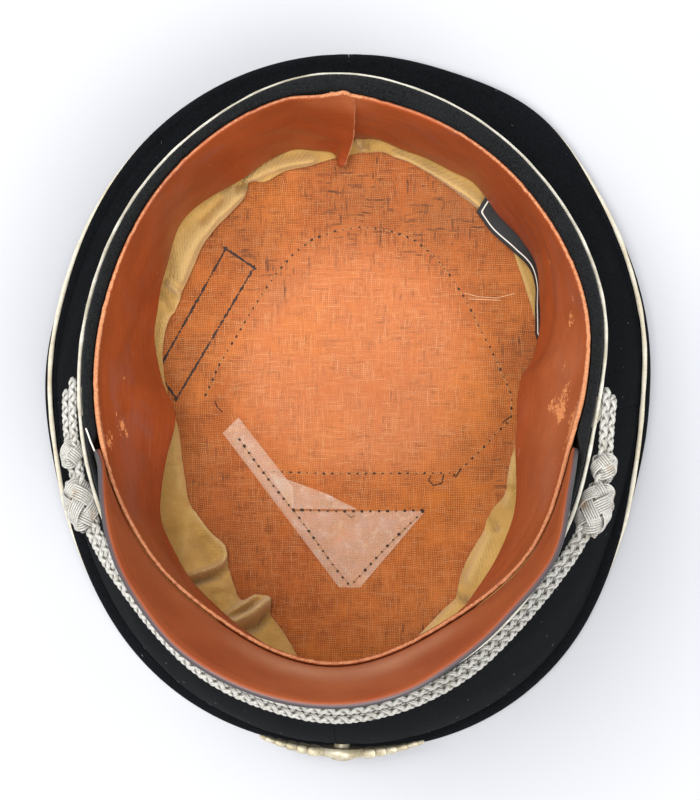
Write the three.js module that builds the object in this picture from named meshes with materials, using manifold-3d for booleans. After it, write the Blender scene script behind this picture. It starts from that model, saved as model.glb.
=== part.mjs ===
// A visor cap lying upside-down on its crown, built as the pieces it is sewn from.
// Millimetres, +Z up. The cap's front (visor, cord, badge) faces -Y and the wearer's right is +X.
// The origin is on the surface that the cap lies on, under the middle of its bounding box.

import * as THREE from 'three';
import Module from 'manifold-3d';

const DEGREE = Math.PI / 180;

// ---------------------------------------------------------------- driving dimensions

// The head opening: an egg-shaped oval, in a plane that leans back because the cap is tall in front.
const RIM = { x: -2.25, y: 18, z: 83.2, half: 86, front: 104, rear: 93, power: { front: 2, rear: 2 } };
const TILT = 14 * DEGREE;

const BAND_DEPTH = 43.5;
const BAND_WALL = 2.4;
const SWEATBAND_DEPTH = 51;
const LEATHER = 1.6;
const CLOTH = 1.6;
const COTTON = 1.0;
const CLEARANCE = 0.3;

// The crown's outline, an oval of its own with a rolled edge held by a wire.
const CROWN = {
  x: 0.3, y: 11.1, half: 113.8, front: 142.4, rear: 122.9, power: { front: 2.19, rear: 2.02 },
};
const ROLL = 4;
const PIPING = 0.95;

// The top lining is a flat oval just above the crown's cloth.
const DISC = { x: 0.75, y: -4, z: 7.2, half: 76, front: 99, rear: 99, power: { front: 2, rear: 2 } };
const DISC_THICKNESS = 0.9;

// The visor reaches this far past the rim at its middle.
const VISOR = { middle: 269.7, halfAngle: 68.3, reach: 46.5, wall: 2.4, flange: 7, spread: 2.3 };

// The chin cord is two ropes side by side, the outer one lying deeper.
const ROPE = 1.75;
const ROPE_PAIR = { across: 2.55, deeper: 2.5 };

// Seams between the four quarter panels, by azimuth round the crown.
const SEAMS = { right: -5.9, rear: 90, left: 184.7, front: 268.4 };
const SEAM_GAP = 0.16;

// Facets round a full ring.
const RING_STEPS = 60;
const CORD_STEPS = 32;

// ---------------------------------------------------------------- hand-shaped unevenness

// How far the leather's edge stands outside the rim's oval.
const LEATHER_EDGE = [
  { at: 10, out: 0.8 }, { at: 40, out: -1.2 }, { at: 75, out: -1.7 }, { at: 97, out: 1.2 },
  { at: 128, out: -1.1 }, { at: 160, out: -2.2 }, { at: 194, out: 0.3 }, { at: 228, out: 0.3 },
  { at: 245, out: -1.1 }, { at: 268, out: 0.8 }, { at: 291, out: -3 }, { at: 314, out: -0.8 },
  { at: 336, out: -3 }, { at: 352, out: -1 },
];

// The middle of the lower piping, which follows the band's outer face.
const BAND_EDGE = [
  { at: 12, out: 7.3 }, { at: 45, out: 6.7 }, { at: 70, out: 7.3 }, { at: 95, out: 9.2 },
  { at: 122, out: 5.4 }, { at: 160, out: 4 }, { at: 182, out: 5 }, { at: 207, out: 7 },
  { at: 222, out: 8.2 }, { at: 245, out: 9.6 }, { at: 270, out: 10.2 }, { at: 290, out: 9 },
  { at: 306, out: 7.2 }, { at: 322, out: 5.4 },
  { at: 345, out: 3.6 },
];

// The sweatband's free edge: how far it leans from its own rim, and how deep it hangs.
const FREE_EDGE = [
  { at: 2, lean: -21, deep: 50 }, { at: 14, lean: -10.5, deep: 51 }, { at: 32, lean: -3.2, deep: 51 },
  { at: 48, lean: 0.2, deep: 51 }, { at: 64, lean: 2.4, deep: 50 }, { at: 80, lean: 2.4, deep: 50 },
  { at: 92, lean: -4.2, deep: 52 }, { at: 103, lean: -1, deep: 51 }, { at: 117, lean: -4, deep: 50 },
  { at: 134, lean: -2.6, deep: 50 }, { at: 148, lean: -8.6, deep: 50 }, { at: 163, lean: -10.4, deep: 51 },
  { at: 178, lean: -18, deep: 51 }, { at: 189, lean: -23.5, deep: 52 }, { at: 200, lean: -19, deep: 52 },
  { at: 216, lean: -9.6, deep: 51 }, { at: 232, lean: -7.2, deep: 50 }, { at: 252, lean: -5, deep: 49 },
  { at: 272, lean: -4.5, deep: 48 }, { at: 292, lean: -3.5, deep: 49 }, { at: 312, lean: -9.5, deep: 50 },
  { at: 328, lean: -11.6, deep: 51 }, { at: 345, lean: -17.6, deep: 51 },
];

// Dents of the crown's outline, the lift of its sagging sides, and where round the rolled edge the
// seam lies: 0 is outermost, above 0 it faces up.
const CROWN_EDGE = [
  { at: 8, out: 0.5, lift: 8, seam: 62 }, { at: 24, out: 0.2, lift: 7, seam: 46 },
  { at: 37, out: 0.1, lift: 5.5, seam: 8 }, { at: 54, out: 3, lift: 3.5, seam: -25 },
  { at: 72, out: 0.2, lift: 1.6, seam: -36 }, { at: 90, out: 0.1, lift: 0.5, seam: -40 },
  { at: 125, out: -0.4, lift: 2.5, seam: -28 }, { at: 150, out: -1.6, lift: 5, seam: 8 },
  { at: 164, out: -1.2, lift: 6.3, seam: 32 }, { at: 182, out: 1.2, lift: 7, seam: 60 },
  { at: 199, out: 0, lift: 5.4, seam: 44 }, { at: 211, out: -0.7, lift: 3.8, seam: -8 },
  { at: 232, out: 0, lift: 1.4, seam: -35 }, { at: 258, out: -0.8, lift: 0.2, seam: -40 },
  { at: 284, out: 0.6, lift: 0.2, seam: -40 }, { at: 308, out: 0.9, lift: 1.4, seam: -36 },
  { at: 328, out: -1.7, lift: 4, seam: -8 }, { at: 338, out: -1.4, lift: 5.5, seam: 46 },
  { at: 352, out: 0, lift: 7.2, seam: 74 },
];

// How far each stretch of the quarter panels bulges outward between crown edge and band.
const QUARTER_BULGE = [
  { at: 0, bulge: 4 }, { at: 45, bulge: 3 }, { at: 90, bulge: 2.4 }, { at: 135, bulge: 3 },
  { at: 180, bulge: 4 }, { at: 225, bulge: 6 }, { at: 246, bulge: 10 }, { at: 268, bulge: 14 },
  { at: 290, bulge: 10 }, { at: 312, bulge: 6 },
];

// The visible edge of the side lining where it lies on the top lining, from the disc's middle.
const LINING_EDGE = [
  { at: 0, reach: 66, bulge: 6 }, { at: 17, reach: 73, bulge: 6 }, { at: 40, reach: 87, bulge: 5 },
  { at: 70, reach: 94, bulge: 4 }, { at: 90, reach: 97, bulge: 3 }, { at: 112, reach: 94, bulge: 4 },
  { at: 137, reach: 81, bulge: 5 }, { at: 160, reach: 74, bulge: 6 }, { at: 181, reach: 66, bulge: 8 },
  { at: 205, reach: 68, bulge: 8 }, { at: 224, reach: 72, bulge: 9 }, { at: 236, reach: 82, bulge: 8 },
  { at: 244, reach: 76, bulge: 10 }, { at: 256, reach: 93, bulge: 8 }, { at: 272, reach: 100, bulge: 7 },
  { at: 284, reach: 93, bulge: 8 }, { at: 300, reach: 80, bulge: 9 }, { at: 322, reach: 67, bulge: 9 },
  { at: 340, reach: 63, bulge: 8 },
];

// The khaki cotton's folds: ridges that run from the disc's edge up to the band.
const FOLDS = [
  { at: 8, width: 5, rise: 2 }, { at: 28, width: 4, rise: 1.6 }, { at: 66, width: 6, rise: 1.2 },
  { at: 104, width: 5, rise: 1.5 }, { at: 128, width: 4, rise: 2.4 }, { at: 150, width: 5, rise: 2.6 },
  { at: 170, width: 4, rise: 1.8 }, { at: 196, width: 5, rise: 1.6 }, { at: 214, width: 4, rise: 2.6 },
  { at: 232, width: 4, rise: 3.4 }, { at: 244, width: 4, rise: 3.6 }, { at: 262, width: 6, rise: 1.5 },
  { at: 296, width: 5, rise: 2 }, { at: 309, width: 4, rise: 3 }, { at: 330, width: 5, rise: 1.8 },
];

// How far the visor's edge flares outside the rim's oval, from one corner to the other.
const VISOR_FLARE = [
  { at: 197, out: 2 }, { at: 204, out: 2.2 }, { at: 209, out: 3.5 }, { at: 216, out: 6.8 },
  { at: 222, out: 10 }, { at: 228, out: 12.8 }, { at: 235, out: 15.2 }, { at: 243, out: 18 },
  { at: 253, out: 19.4 }, { at: 263, out: 19.9 }, { at: 273, out: 19.3 }, { at: 281, out: 17.4 },
  { at: 287, out: 14.8 }, { at: 294, out: 12.4 }, { at: 301, out: 10.2 }, { at: 308, out: 9.2 },
  { at: 313, out: 8.3 }, { at: 318, out: 6 }, { at: 322, out: 3.6 }, { at: 328, out: 1.2 },
  { at: 338, out: -0.3 },
];

// The chin cord's route: the outer edge of the rope pair and its depth below the rim. A list by hand.
const CORD_ROUTE = [
  { at: 185.5, out: 12, deep: 8.6 }, { at: 191, out: 12.7, deep: 8.4 }, { at: 197, out: 13.4, deep: 8.2 },
  { at: 205, out: 14.4, deep: 8.2 }, { at: 213, out: 15.4, deep: 8.2 }, { at: 220, out: 15.5, deep: 8 },
  { at: 228, out: 15.2, deep: 8 }, { at: 236, out: 16, deep: 8 }, { at: 246, out: 17.6, deep: 8 },
  { at: 258, out: 18.1, deep: 8 }, { at: 269, out: 18.8, deep: 8 }, { at: 277, out: 17.9, deep: 8 },
  { at: 285, out: 16.6, deep: 8.2 }, { at: 293, out: 15.2, deep: 8.6 }, { at: 301, out: 13.4, deep: 9.2 },
  { at: 308, out: 12.7, deep: 9.4 }, { at: 315, out: 13, deep: 9.2 }, { at: 322, out: 13.8, deep: 8.8 },
  { at: 330, out: 14.2, deep: 8.4 }, { at: 338, out: 13, deep: 8.3 }, { at: 345, out: 11.3, deep: 8.3 },
  { at: 352.5, out: 11, deep: 8.6 },
];

const KNOTS = [
  { name: 'knot_small_left', at: 199.6, out: 10.9, deep: 8.4, length: 9.4, across: 9.2, high: 9.6 },
  { name: 'knot_large_left', at: 209.2, out: 12.9, deep: 8.7, length: 19, across: 11.8, high: 11.4 },
  { name: 'knot_small_right', at: 337.6, out: 9.9, deep: 8.2, length: 9.2, across: 9.6, high: 9.6 },
  { name: 'knot_large_right', at: 329.4, out: 11.4, deep: 8.4, length: 19.6, across: 12.2, high: 11.4 },
];

const BUTTONS = [{ name: 'button_left', at: 187.5 }, { name: 'button_right', at: 350 }];
const BUTTON = { radius: 5.5, rise: 3.2, deep: 18.6 };

// ---------------------------------------------------------------- curves and tables

// Reads a column of a table as a smooth periodic function of azimuth in degrees.
function around(rows, column) {
  const count = rows.length;
  const wrap = (i) => rows[((i % count) + count) % count];
  const at = (i) => wrap(i).at + 360 * Math.floor(i / count);
  const slope = (i) => (wrap(i + 1)[column] - wrap(i - 1)[column]) / (at(i + 1) - at(i - 1));
  return (azimuth) => {
    const a = at(0) + ((((azimuth - at(0)) % 360) + 360) % 360);
    let i = 0;
    while (at(i + 1) <= a) i += 1;
    const span = at(i + 1) - at(i);
    const t = (a - at(i)) / span;
    const from = wrap(i)[column];
    const to = wrap(i + 1)[column];
    const leave = slope(i) * span;
    const arrive = slope(i + 1) * span;
    const bend = 3 * (to - from) - 2 * leave - arrive;
    return from + t * (leave + t * (bend + t * (leave + arrive - 2 * (to - from))));
  };
}

function ovalRadius(azimuth, oval) {
  const across = Math.abs(Math.cos(azimuth * DEGREE)) / oval.half;
  const sine = Math.sin(azimuth * DEGREE);
  const end = sine < 0 ? 'front' : 'rear';
  const power = oval.power[end];
  return (across ** power + (Math.abs(sine) / oval[end]) ** power) ** (-1 / power);
}

function onOval(azimuth, oval, out, z) {
  const reach = ovalRadius(azimuth, oval) + out;
  const x = oval.x + reach * Math.cos(azimuth * DEGREE);
  const y = oval.y + reach * Math.sin(azimuth * DEGREE);
  return new THREE.Vector3(x, y, z);
}

// A place by the cap's own measures: `out` outside the rim's oval and `deep` below the rim's plane.
function onCap(azimuth, out, deep) {
  const point = onOval(azimuth, RIM, out, RIM.z);
  point.z -= (point.y - RIM.y) * Math.tan(TILT) + deep * Math.cos(TILT);
  point.y -= deep * Math.sin(TILT);
  return point;
}

const smooth = (low, high, value) => THREE.MathUtils.smoothstep(value, low, high);

const leatherEdge = around(LEATHER_EDGE, 'out');
const pipingEdge = around(BAND_EDGE, 'out');
const freeLean = around(FREE_EDGE, 'lean');
const freeDeep = around(FREE_EDGE, 'deep');
const crownOut = around(CROWN_EDGE, 'out');
const crownLift = around(CROWN_EDGE, 'lift');
const crownSeam = around(CROWN_EDGE, 'seam');
const quarterBulge = around(QUARTER_BULGE, 'bulge');
const liningReach = around(LINING_EDGE, 'reach');
const liningBulge = around(LINING_EDGE, 'bulge');
const cordOut = around(CORD_ROUTE, 'out');
const cordDeep = around(CORD_ROUTE, 'deep');
const visorFlare = around(VISOR_FLARE, 'out');

const bandOut = (azimuth) => pipingEdge(azimuth) - PIPING - CLEARANCE;

// 1 where the visor's flange lies between leather and band, 0 elsewhere.
function visorShare(azimuth) {
  const away = Math.abs(azimuth - VISOR.middle);
  return 1 - smooth(VISOR.halfAngle + 3, VISOR.halfAngle + 11, away);
}

// ---------------------------------------------------------------- solids from sections

// Joins equal rings of points into one closed body, either looped on itself or capped at both ends.
function loft(sections, looped) {
  const places = new Map();
  const positions = [];
  const corner = (point) => {
    const key = [point.x, point.y, point.z].map((value) => value.toFixed(3)).join();
    if (!places.has(key)) {
      places.set(key, places.size);
      positions.push(point.x, point.y, point.z);
    }
    return places.get(key);
  };
  const grid = sections.map((section) => section.map(corner));
  const faces = [];
  const triangle = (a, b, c) => {
    if (a !== b && b !== c && c !== a) faces.push(a, b, c);
  };
  const quad = (a, b, c, d) => {
    triangle(a, b, c);
    triangle(a, c, d);
  };
  const sides = grid[0].length;
  const steps = looped ? grid.length : grid.length - 1;
  for (let i = 0; i < steps; i += 1) {
    const here = grid[i];
    const next = grid[(i + 1) % grid.length];
    for (let k = 0; k < sides; k += 1) {
      const l = (k + 1) % sides;
      quad(here[k], next[k], next[l], here[l]);
    }
  }
  const cap = (ring, turn) => {
    for (let k = 0; 2 * k < sides - 2; k += 1) {
      const corners = [ring[k], ring[k + 1], ring[sides - 2 - k], ring[sides - 1 - k]];
      quad(...(turn ? corners.reverse() : corners));
    }
  };
  if (!looped) {
    cap(grid[0], false);
    cap(grid[grid.length - 1], true);
  }
  const geometry = new THREE.BufferGeometry();
  geometry.setAttribute('position', new THREE.Float32BufferAttribute(positions, 3));
  geometry.setIndex(faces);
  return facingOut(geometry);
}

function facingOut(geometry) {
  const place = geometry.getAttribute('position');
  const index = geometry.getIndex().array;
  const [a, b, c] = [new THREE.Vector3(), new THREE.Vector3(), new THREE.Vector3()];
  let volume = 0;
  for (let i = 0; i < index.length; i += 3) {
    a.fromBufferAttribute(place, index[i]);
    b.fromBufferAttribute(place, index[i + 1]);
    c.fromBufferAttribute(place, index[i + 2]);
    volume += a.dot(b.cross(c));
  }
  if (volume < 0) {
    for (let i = 0; i < index.length; i += 3) {
      [index[i], index[i + 1]] = [index[i + 1], index[i]];
    }
  }
  geometry.computeVertexNormals();
  return geometry;
}

// Evenly spaced numbers, both ends included.
function spread(from, to, steps) {
  return Array.from({ length: steps + 1 }, (_, i) => from + ((to - from) * i) / steps);
}

// A sheet of cloth or leather. `face(azimuth, v)` is one face and `side` says on which hand of it
// the thickness lies. Without `to` it runs all the way round.
function sheet({ face, wall, side, vs, from = 0, to, steps }) {
  const looped = to === undefined;
  const azimuths = looped ? spread(from, from + 360, steps).slice(0, -1) : spread(from, to, steps);
  const nudge = 0.01;
  const sections = azimuths.map((azimuth) => {
    const points = vs.map((v) => face(azimuth, v));
    const inner = vs.map((v, k) => {
      const round = face(azimuth + 10 * nudge, v).sub(face(azimuth - 10 * nudge, v));
      const along = face(azimuth, Math.min(v + nudge, 1)).sub(face(azimuth, Math.max(v - nudge, 0)));
      const normal = round.cross(along);
      if (normal.length() < 1e-9) normal.set(0, 0, -1);
      normal.normalize().multiplyScalar(side * wall);
      return points[k].clone().add(normal);
    });
    return [...points, ...inner.reverse()];
  });
  return loft(sections, looped);
}

// A round cord along the points of a closed or open centre line.
function rope(points, radius, sides, looped) {
  const sections = points.map((point, i) => {
    const count = points.length;
    const before = looped ? points[(i + count - 1) % count] : points[Math.max(i - 1, 0)];
    const after = looped ? points[(i + 1) % count] : points[Math.min(i + 1, count - 1)];
    const along = after.clone().sub(before).normalize();
    const across = new THREE.Vector3(0, 0, 1).cross(along).normalize();
    if (across.length() < 0.5) across.set(1, 0, 0);
    const up = along.clone().cross(across);
    return spread(0, 360, sides).slice(0, -1).map((angle) => point.clone()
      .addScaledVector(across, radius * Math.cos(angle * DEGREE))
      .addScaledVector(up, radius * Math.sin(angle * DEGREE)));
  });
  return loft(sections, looped);
}

// ---------------------------------------------------------------- crown

// A point on the crown's rolled edge: `turn` is 0 outermost, 90 on top, -90 underneath.
function onRoll(azimuth, turn) {
  const out = crownOut(azimuth) - ROLL + ROLL * Math.cos(turn * DEGREE);
  return onOval(azimuth, CROWN, out, crownLift(azimuth) + ROLL + ROLL * Math.sin(turn * DEGREE));
}

const SEAM_TURN = ((PIPING + CLEARANCE) / ROLL / DEGREE) * 1.2;

function crownTop() {
  const flat = 0.45;
  const bottom = 0.8;
  const face = (azimuth, v) => {
    if (v >= bottom) {
      const turn = THREE.MathUtils.mapLinear(v, bottom, 1, -90, crownSeam(azimuth) - SEAM_TURN);
      return onRoll(azimuth, turn);
    }
    const edge = onRoll(azimuth, -90);
    const share = v / bottom;
    const lift = crownLift(azimuth) * Math.max(0, (share - flat) / (1 - flat)) ** 1.6;
    return new THREE.Vector3(CROWN.x, CROWN.y, 0).lerp(edge, share).setZ(lift);
  };
  const vs = [0, flat * bottom, 0.6, bottom, 0.88, 1];
  return sheet({ face, wall: CLOTH, side: -1, vs, steps: 56 });
}

function crownPiping() {
  const sections = spread(0, 360, RING_STEPS).slice(0, -1).map((azimuth) => {
    const turn = crownSeam(azimuth) * DEGREE;
    const out = crownOut(azimuth) - ROLL;
    const z = crownLift(azimuth) + ROLL;
    const reach = ROLL - 0.35;
    const radius = PIPING;
    return spread(0, 360, 5).slice(0, -1).map((angle) => {
      const way = angle * DEGREE + turn;
      const ring = out + reach * Math.cos(turn) + radius * Math.cos(way);
      return onOval(azimuth, CROWN, ring, z + reach * Math.sin(turn) + radius * Math.sin(way));
    });
  });
  return loft(sections, true);
}

// The outer face of the quarter panels, from the piped edge (0) to the band (1).
function onQuarter(azimuth, v) {
  const rolled = 0.3;
  const lastTurn = 100;
  if (v <= rolled) {
    const turn = THREE.MathUtils.mapLinear(v, 0, rolled, crownSeam(azimuth) + SEAM_TURN, lastTurn);
    return onRoll(azimuth, turn);
  }
  const share = (v - rolled) / (1 - rolled);
  const start = onRoll(azimuth, lastTurn);
  const end = onCap(azimuth, bandOut(azimuth) + 0.3, BAND_DEPTH + 2.9);
  const middle = start.clone().lerp(end, 0.45);
  const outward = new THREE.Vector3(Math.cos(azimuth * DEGREE), Math.sin(azimuth * DEGREE), 0.6);
  middle.addScaledVector(outward.normalize(), quarterBulge(azimuth));
  return new THREE.QuadraticBezierCurve3(start, middle, end).getPoint(share);
}

function quarter(from, to) {
  const vs = [0, 0.15, 0.3, 0.48, 0.66, 0.83, 1];
  const ends = { from: from + SEAM_GAP, to: to - SEAM_GAP };
  return sheet({ face: onQuarter, wall: CLOTH, side: -1, vs, ...ends, steps: 14 });
}

// ---------------------------------------------------------------- band and pipings

const lipInner = (azimuth) => leatherEdge(azimuth) + 2 * CLEARANCE
  + visorShare(azimuth) * (VISOR.wall + CLEARANCE);

function band() {
  const sections = spread(0, 360, RING_STEPS).slice(0, -1).map((azimuth) => {
    const outer = bandOut(azimuth);
    const inner = lipInner(azimuth);
    const middle = (inner + outer) / 2;
    const profile = [
      [inner, 5], [inner, 1.4], [inner + 0.8, 0.1], [middle, -0.5], [outer - 0.7, 0.2],
      [outer, 1.8], [outer, BAND_DEPTH], [outer - BAND_WALL, BAND_DEPTH], [outer - BAND_WALL, 12],
    ];
    return profile.map(([out, deep]) => onCap(azimuth, out, deep));
  });
  return loft(sections, true);
}

function bandPiping(out, deep) {
  const sections = spread(0, 360, RING_STEPS).slice(0, -1).map((azimuth) => (
    spread(0, 360, 5).slice(0, -1).map((angle) => onCap(
      azimuth,
      out(azimuth) + PIPING * Math.cos(angle * DEGREE),
      deep + PIPING * Math.sin(angle * DEGREE),
    ))
  ));
  return loft(sections, true);
}

// ---------------------------------------------------------------- visor

function visorReach(azimuth) {
  const share = Math.min(1, Math.abs(azimuth - VISOR.middle) / VISOR.halfAngle);
  return VISOR.reach * (1 - share ** VISOR.spread) ** 0.8;
}

function onVisor(azimuth, v) {
  const root = leatherEdge(azimuth) + CLEARANCE + VISOR.wall;
  const flange = 0.15;
  if (v <= flange) return onCap(azimuth, root, VISOR.flange * (1 - v / flange) - 0.4);
  const share = (v - flange) / (1 - flange);
  const flare = root + (visorFlare(azimuth) - root) * share ** 1.15;
  const reach = visorReach(azimuth);
  return onCap(azimuth, THREE.MathUtils.lerp(root, flare, smooth(0, 12, reach)), -0.4 - reach * share);
}

function visor() {
  const from = VISOR.middle - VISOR.halfAngle;
  const to = VISOR.middle + VISOR.halfAngle;
  const vs = [0, 0.15, 0.3, 0.5, 0.75, 1];
  return sheet({ face: onVisor, wall: VISOR.wall, side: -1, vs, from, to, steps: 30 });
}

// ---------------------------------------------------------------- sweatband and linings

// The leather's outer face, from its sewn edge (0) to its free edge (1). Its ends overlap at the rear.
const OVERLAP = { from: 86.6, to: 93.5, step: LEATHER + CLEARANCE + 0.1 };

function onSweatband(azimuth, v) {
  const lean = freeLean(azimuth) * v ** 1.35;
  const lapped = (1 - smooth(OVERLAP.to, OVERLAP.to + 9, azimuth)) * OVERLAP.step;
  return onCap(azimuth, leatherEdge(azimuth) + lean - lapped, -0.9 + (freeDeep(azimuth) + 0.9) * v);
}

function sweatband() {
  const vs = [0, 0.25, 0.5, 0.75, 1];
  const to = 360 + OVERLAP.to - 1;
  return sheet({ face: onSweatband, wall: LEATHER, side: 1, vs, from: OVERLAP.from, to, steps: 66 });
}

function foldRise(azimuth) {
  return FOLDS.reduce((sum, fold) => {
    const away = ((((azimuth - fold.at) % 360) + 540) % 360) - 180;
    return sum + fold.rise * Math.exp(-((away / fold.width) ** 2));
  }, 0);
}

// The side lining's inner face, from its edge on the disc (0) out and up to the band (1).
function onLining(azimuth, v) {
  const reach = liningReach(azimuth) - ovalRadius(azimuth, DISC);
  const hem = DISC.z + DISC_THICKNESS + CLEARANCE + COTTON + 0.2;
  const edge = onOval(azimuth, DISC, reach, hem);
  const against = bandOut(azimuth) - BAND_WALL - COTTON - 1.8 * CLEARANCE;
  const knee = onCap(azimuth, against, BAND_DEPTH + 3);
  const top = onCap(azimuth, against, 33);
  const low = edge.clone().lerp(knee, 0.5);
  const outward = new THREE.Vector3(Math.cos(azimuth * DEGREE), Math.sin(azimuth * DEGREE), 0);
  low.addScaledVector(outward, liningBulge(azimuth)).setZ(hem + (knee.z - hem) * 0.28);
  const curve = new THREE.CatmullRomCurve3([edge, low, knee, top]);
  const point = curve.getPoint(v);
  const rise = foldRise(azimuth) * Math.sin(Math.PI * Math.min(1, v * 1.25));
  return point.addScaledVector(outward, -rise);
}

function liningSide() {
  const vs = [0, 0.13, 0.32, 0.55, 0.78, 1];
  return sheet({ face: onLining, wall: COTTON, side: 1, vs, steps: 72 });
}

function liningTop() {
  const face = (azimuth, v) => onOval(azimuth, DISC, 0, DISC.z + DISC_THICKNESS)
    .lerp(new THREE.Vector3(DISC.x, DISC.y, DISC.z + DISC_THICKNESS), 1 - v);
  return sheet({ face, wall: DISC_THICKNESS, side: 1, vs: [0, 1], steps: 40 });
}

// ---------------------------------------------------------------- chin cord, knots and buttons

// The middle of one rope: `hand` is -1 for the rope by the band and 1 for the outer, deeper one.
function onRope(azimuth, hand) {
  const middle = cordOut(azimuth) - ROPE - ROPE_PAIR.across / 2;
  const out = middle + (hand * ROPE_PAIR.across) / 2;
  return onCap(azimuth, out, cordDeep(azimuth) + (hand * ROPE_PAIR.deeper) / 2);
}

function cordPoints() {
  const first = CORD_ROUTE[0].at;
  const last = CORD_ROUTE[CORD_ROUTE.length - 1].at;
  const azimuths = spread(first, last, CORD_STEPS);
  const inner = azimuths.map((azimuth) => onRope(azimuth, -1));
  const outer = azimuths.map((azimuth) => onRope(azimuth, 1)).reverse();
  const turn = (from, to, along) => {
    const middle = from.clone().lerp(to, 0.5);
    const half = to.clone().sub(from).multiplyScalar(0.5);
    const ahead = along.clone().normalize().multiplyScalar(half.length());
    return spread(0, 180, 4).slice(1, -1).map((angle) => middle.clone()
      .addScaledVector(half, -Math.cos(angle * DEGREE))
      .addScaledVector(ahead, Math.sin(angle * DEGREE)));
  };
  const rightward = inner[CORD_STEPS].clone().sub(inner[CORD_STEPS - 1]);
  const leftward = inner[0].clone().sub(inner[1]);
  const rightEnd = turn(inner[CORD_STEPS], outer[0], rightward);
  const leftEnd = turn(outer[CORD_STEPS], inner[0], leftward);
  return [...inner, ...rightEnd, ...outer, ...leftEnd];
}

function ropeStretch(azimuth, hand, radius, reach) {
  const points = spread(azimuth - reach, azimuth + reach, 5).map((a) => onRope(a, hand));
  return rope(points, radius, 8, false);
}

function knot({ at, out, deep, length, across, high }) {
  const middle = onCap(at, out, deep);
  const along = onRope(at + 1, 0).sub(onRope(at - 1, 0)).normalize();
  const down = new THREE.Vector3(0, -Math.sin(TILT), -Math.cos(TILT));
  const outward = along.clone().cross(down).normalize();
  const up = along.clone().cross(outward);
  const shape = new THREE.SphereGeometry(1, 12, 6);
  shape.scale(length / 2, across / 2, high / 2);
  const turn = new THREE.Matrix4().makeBasis(along, outward, up).setPosition(middle);
  return shape.applyMatrix4(turn);
}

function button(at) {
  const profile = [[0, 0], [BUTTON.radius - 0.6, 0], [BUTTON.radius, 0.5], [BUTTON.radius, 1.1]];
  const dome = spread(0, 90, 4).slice(1).map((angle) => [
    BUTTON.radius * Math.cos(angle * DEGREE),
    1.1 + (BUTTON.rise - 1.1) * Math.sin(angle * DEGREE),
  ]);
  const outline = [...profile, ...dome].map(([r, h]) => new THREE.Vector2(Math.max(r, 0), h));
  outline[outline.length - 1].x = 0;
  const shape = new THREE.LatheGeometry(outline, 20);
  const place = onCap(at, bandOut(at) + 2 * CLEARANCE, BUTTON.deep);
  const onBand = (azimuth) => onCap(azimuth, bandOut(azimuth), BUTTON.deep);
  const along = onBand(at + 2).sub(onBand(at - 2));
  const outward = along.cross(new THREE.Vector3(0, Math.sin(TILT), Math.cos(TILT))).normalize();
  shape.applyQuaternion(new THREE.Quaternion().setFromUnitVectors(new THREE.Vector3(0, 1, 0), outward));
  return shape.translate(place.x, place.y, place.z);
}

// ---------------------------------------------------------------- film shield, label and badge

// The film's outline on the top lining: a triangle with a strip running off to the left.
const FILM = {
  thickness: 0.5,
  outline: [
    [-20.5, -40.2], [29.4, -40.2], [4.6, -69.2], [-3.4, -69.2],
    [-47.6, -10.6], [-41.6, -4.6], [-20.8, -31.2],
  ],
};

function sweatShield() {
  const outline = new THREE.Shape(FILM.outline.map(([x, y]) => new THREE.Vector2(x, y)));
  const shape = new THREE.ExtrudeGeometry(outline, { depth: FILM.thickness, bevelEnabled: false });
  return shape.translate(0, 0, DISC.z + DISC_THICKNESS + CLEARANCE);
}

// A cloth tab standing between the sweatband and the side lining, at the wearer's right.
const LABEL = { from: 11, to: 52, top: 28, deep: 50, behind: 1.2, wall: 0.6 };

function label() {
  const face = (azimuth, v) => {
    const deep = THREE.MathUtils.lerp(LABEL.top, LABEL.deep + 6, v);
    const share = deep / SWEATBAND_DEPTH;
    const out = leatherEdge(azimuth) + freeLean(azimuth) * share ** 1.35 + LABEL.behind;
    return onCap(azimuth, out, deep);
  };
  const { from, to, wall } = LABEL;
  return sheet({ face, wall, side: 1, vs: [0, 0.5, 1], from, to, steps: 14 });
}

// A plain round boss between two sprays of leaves, bent to the crown's front.
const BADGE = {
  middle: 269.1, high: 0.42, stand: 4, relief: 3.4, boss: 8.6, post: 3.5,
  leaves: 5, pitch: 4.9, leaf: 8.8, rise: 0.22,
};

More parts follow.
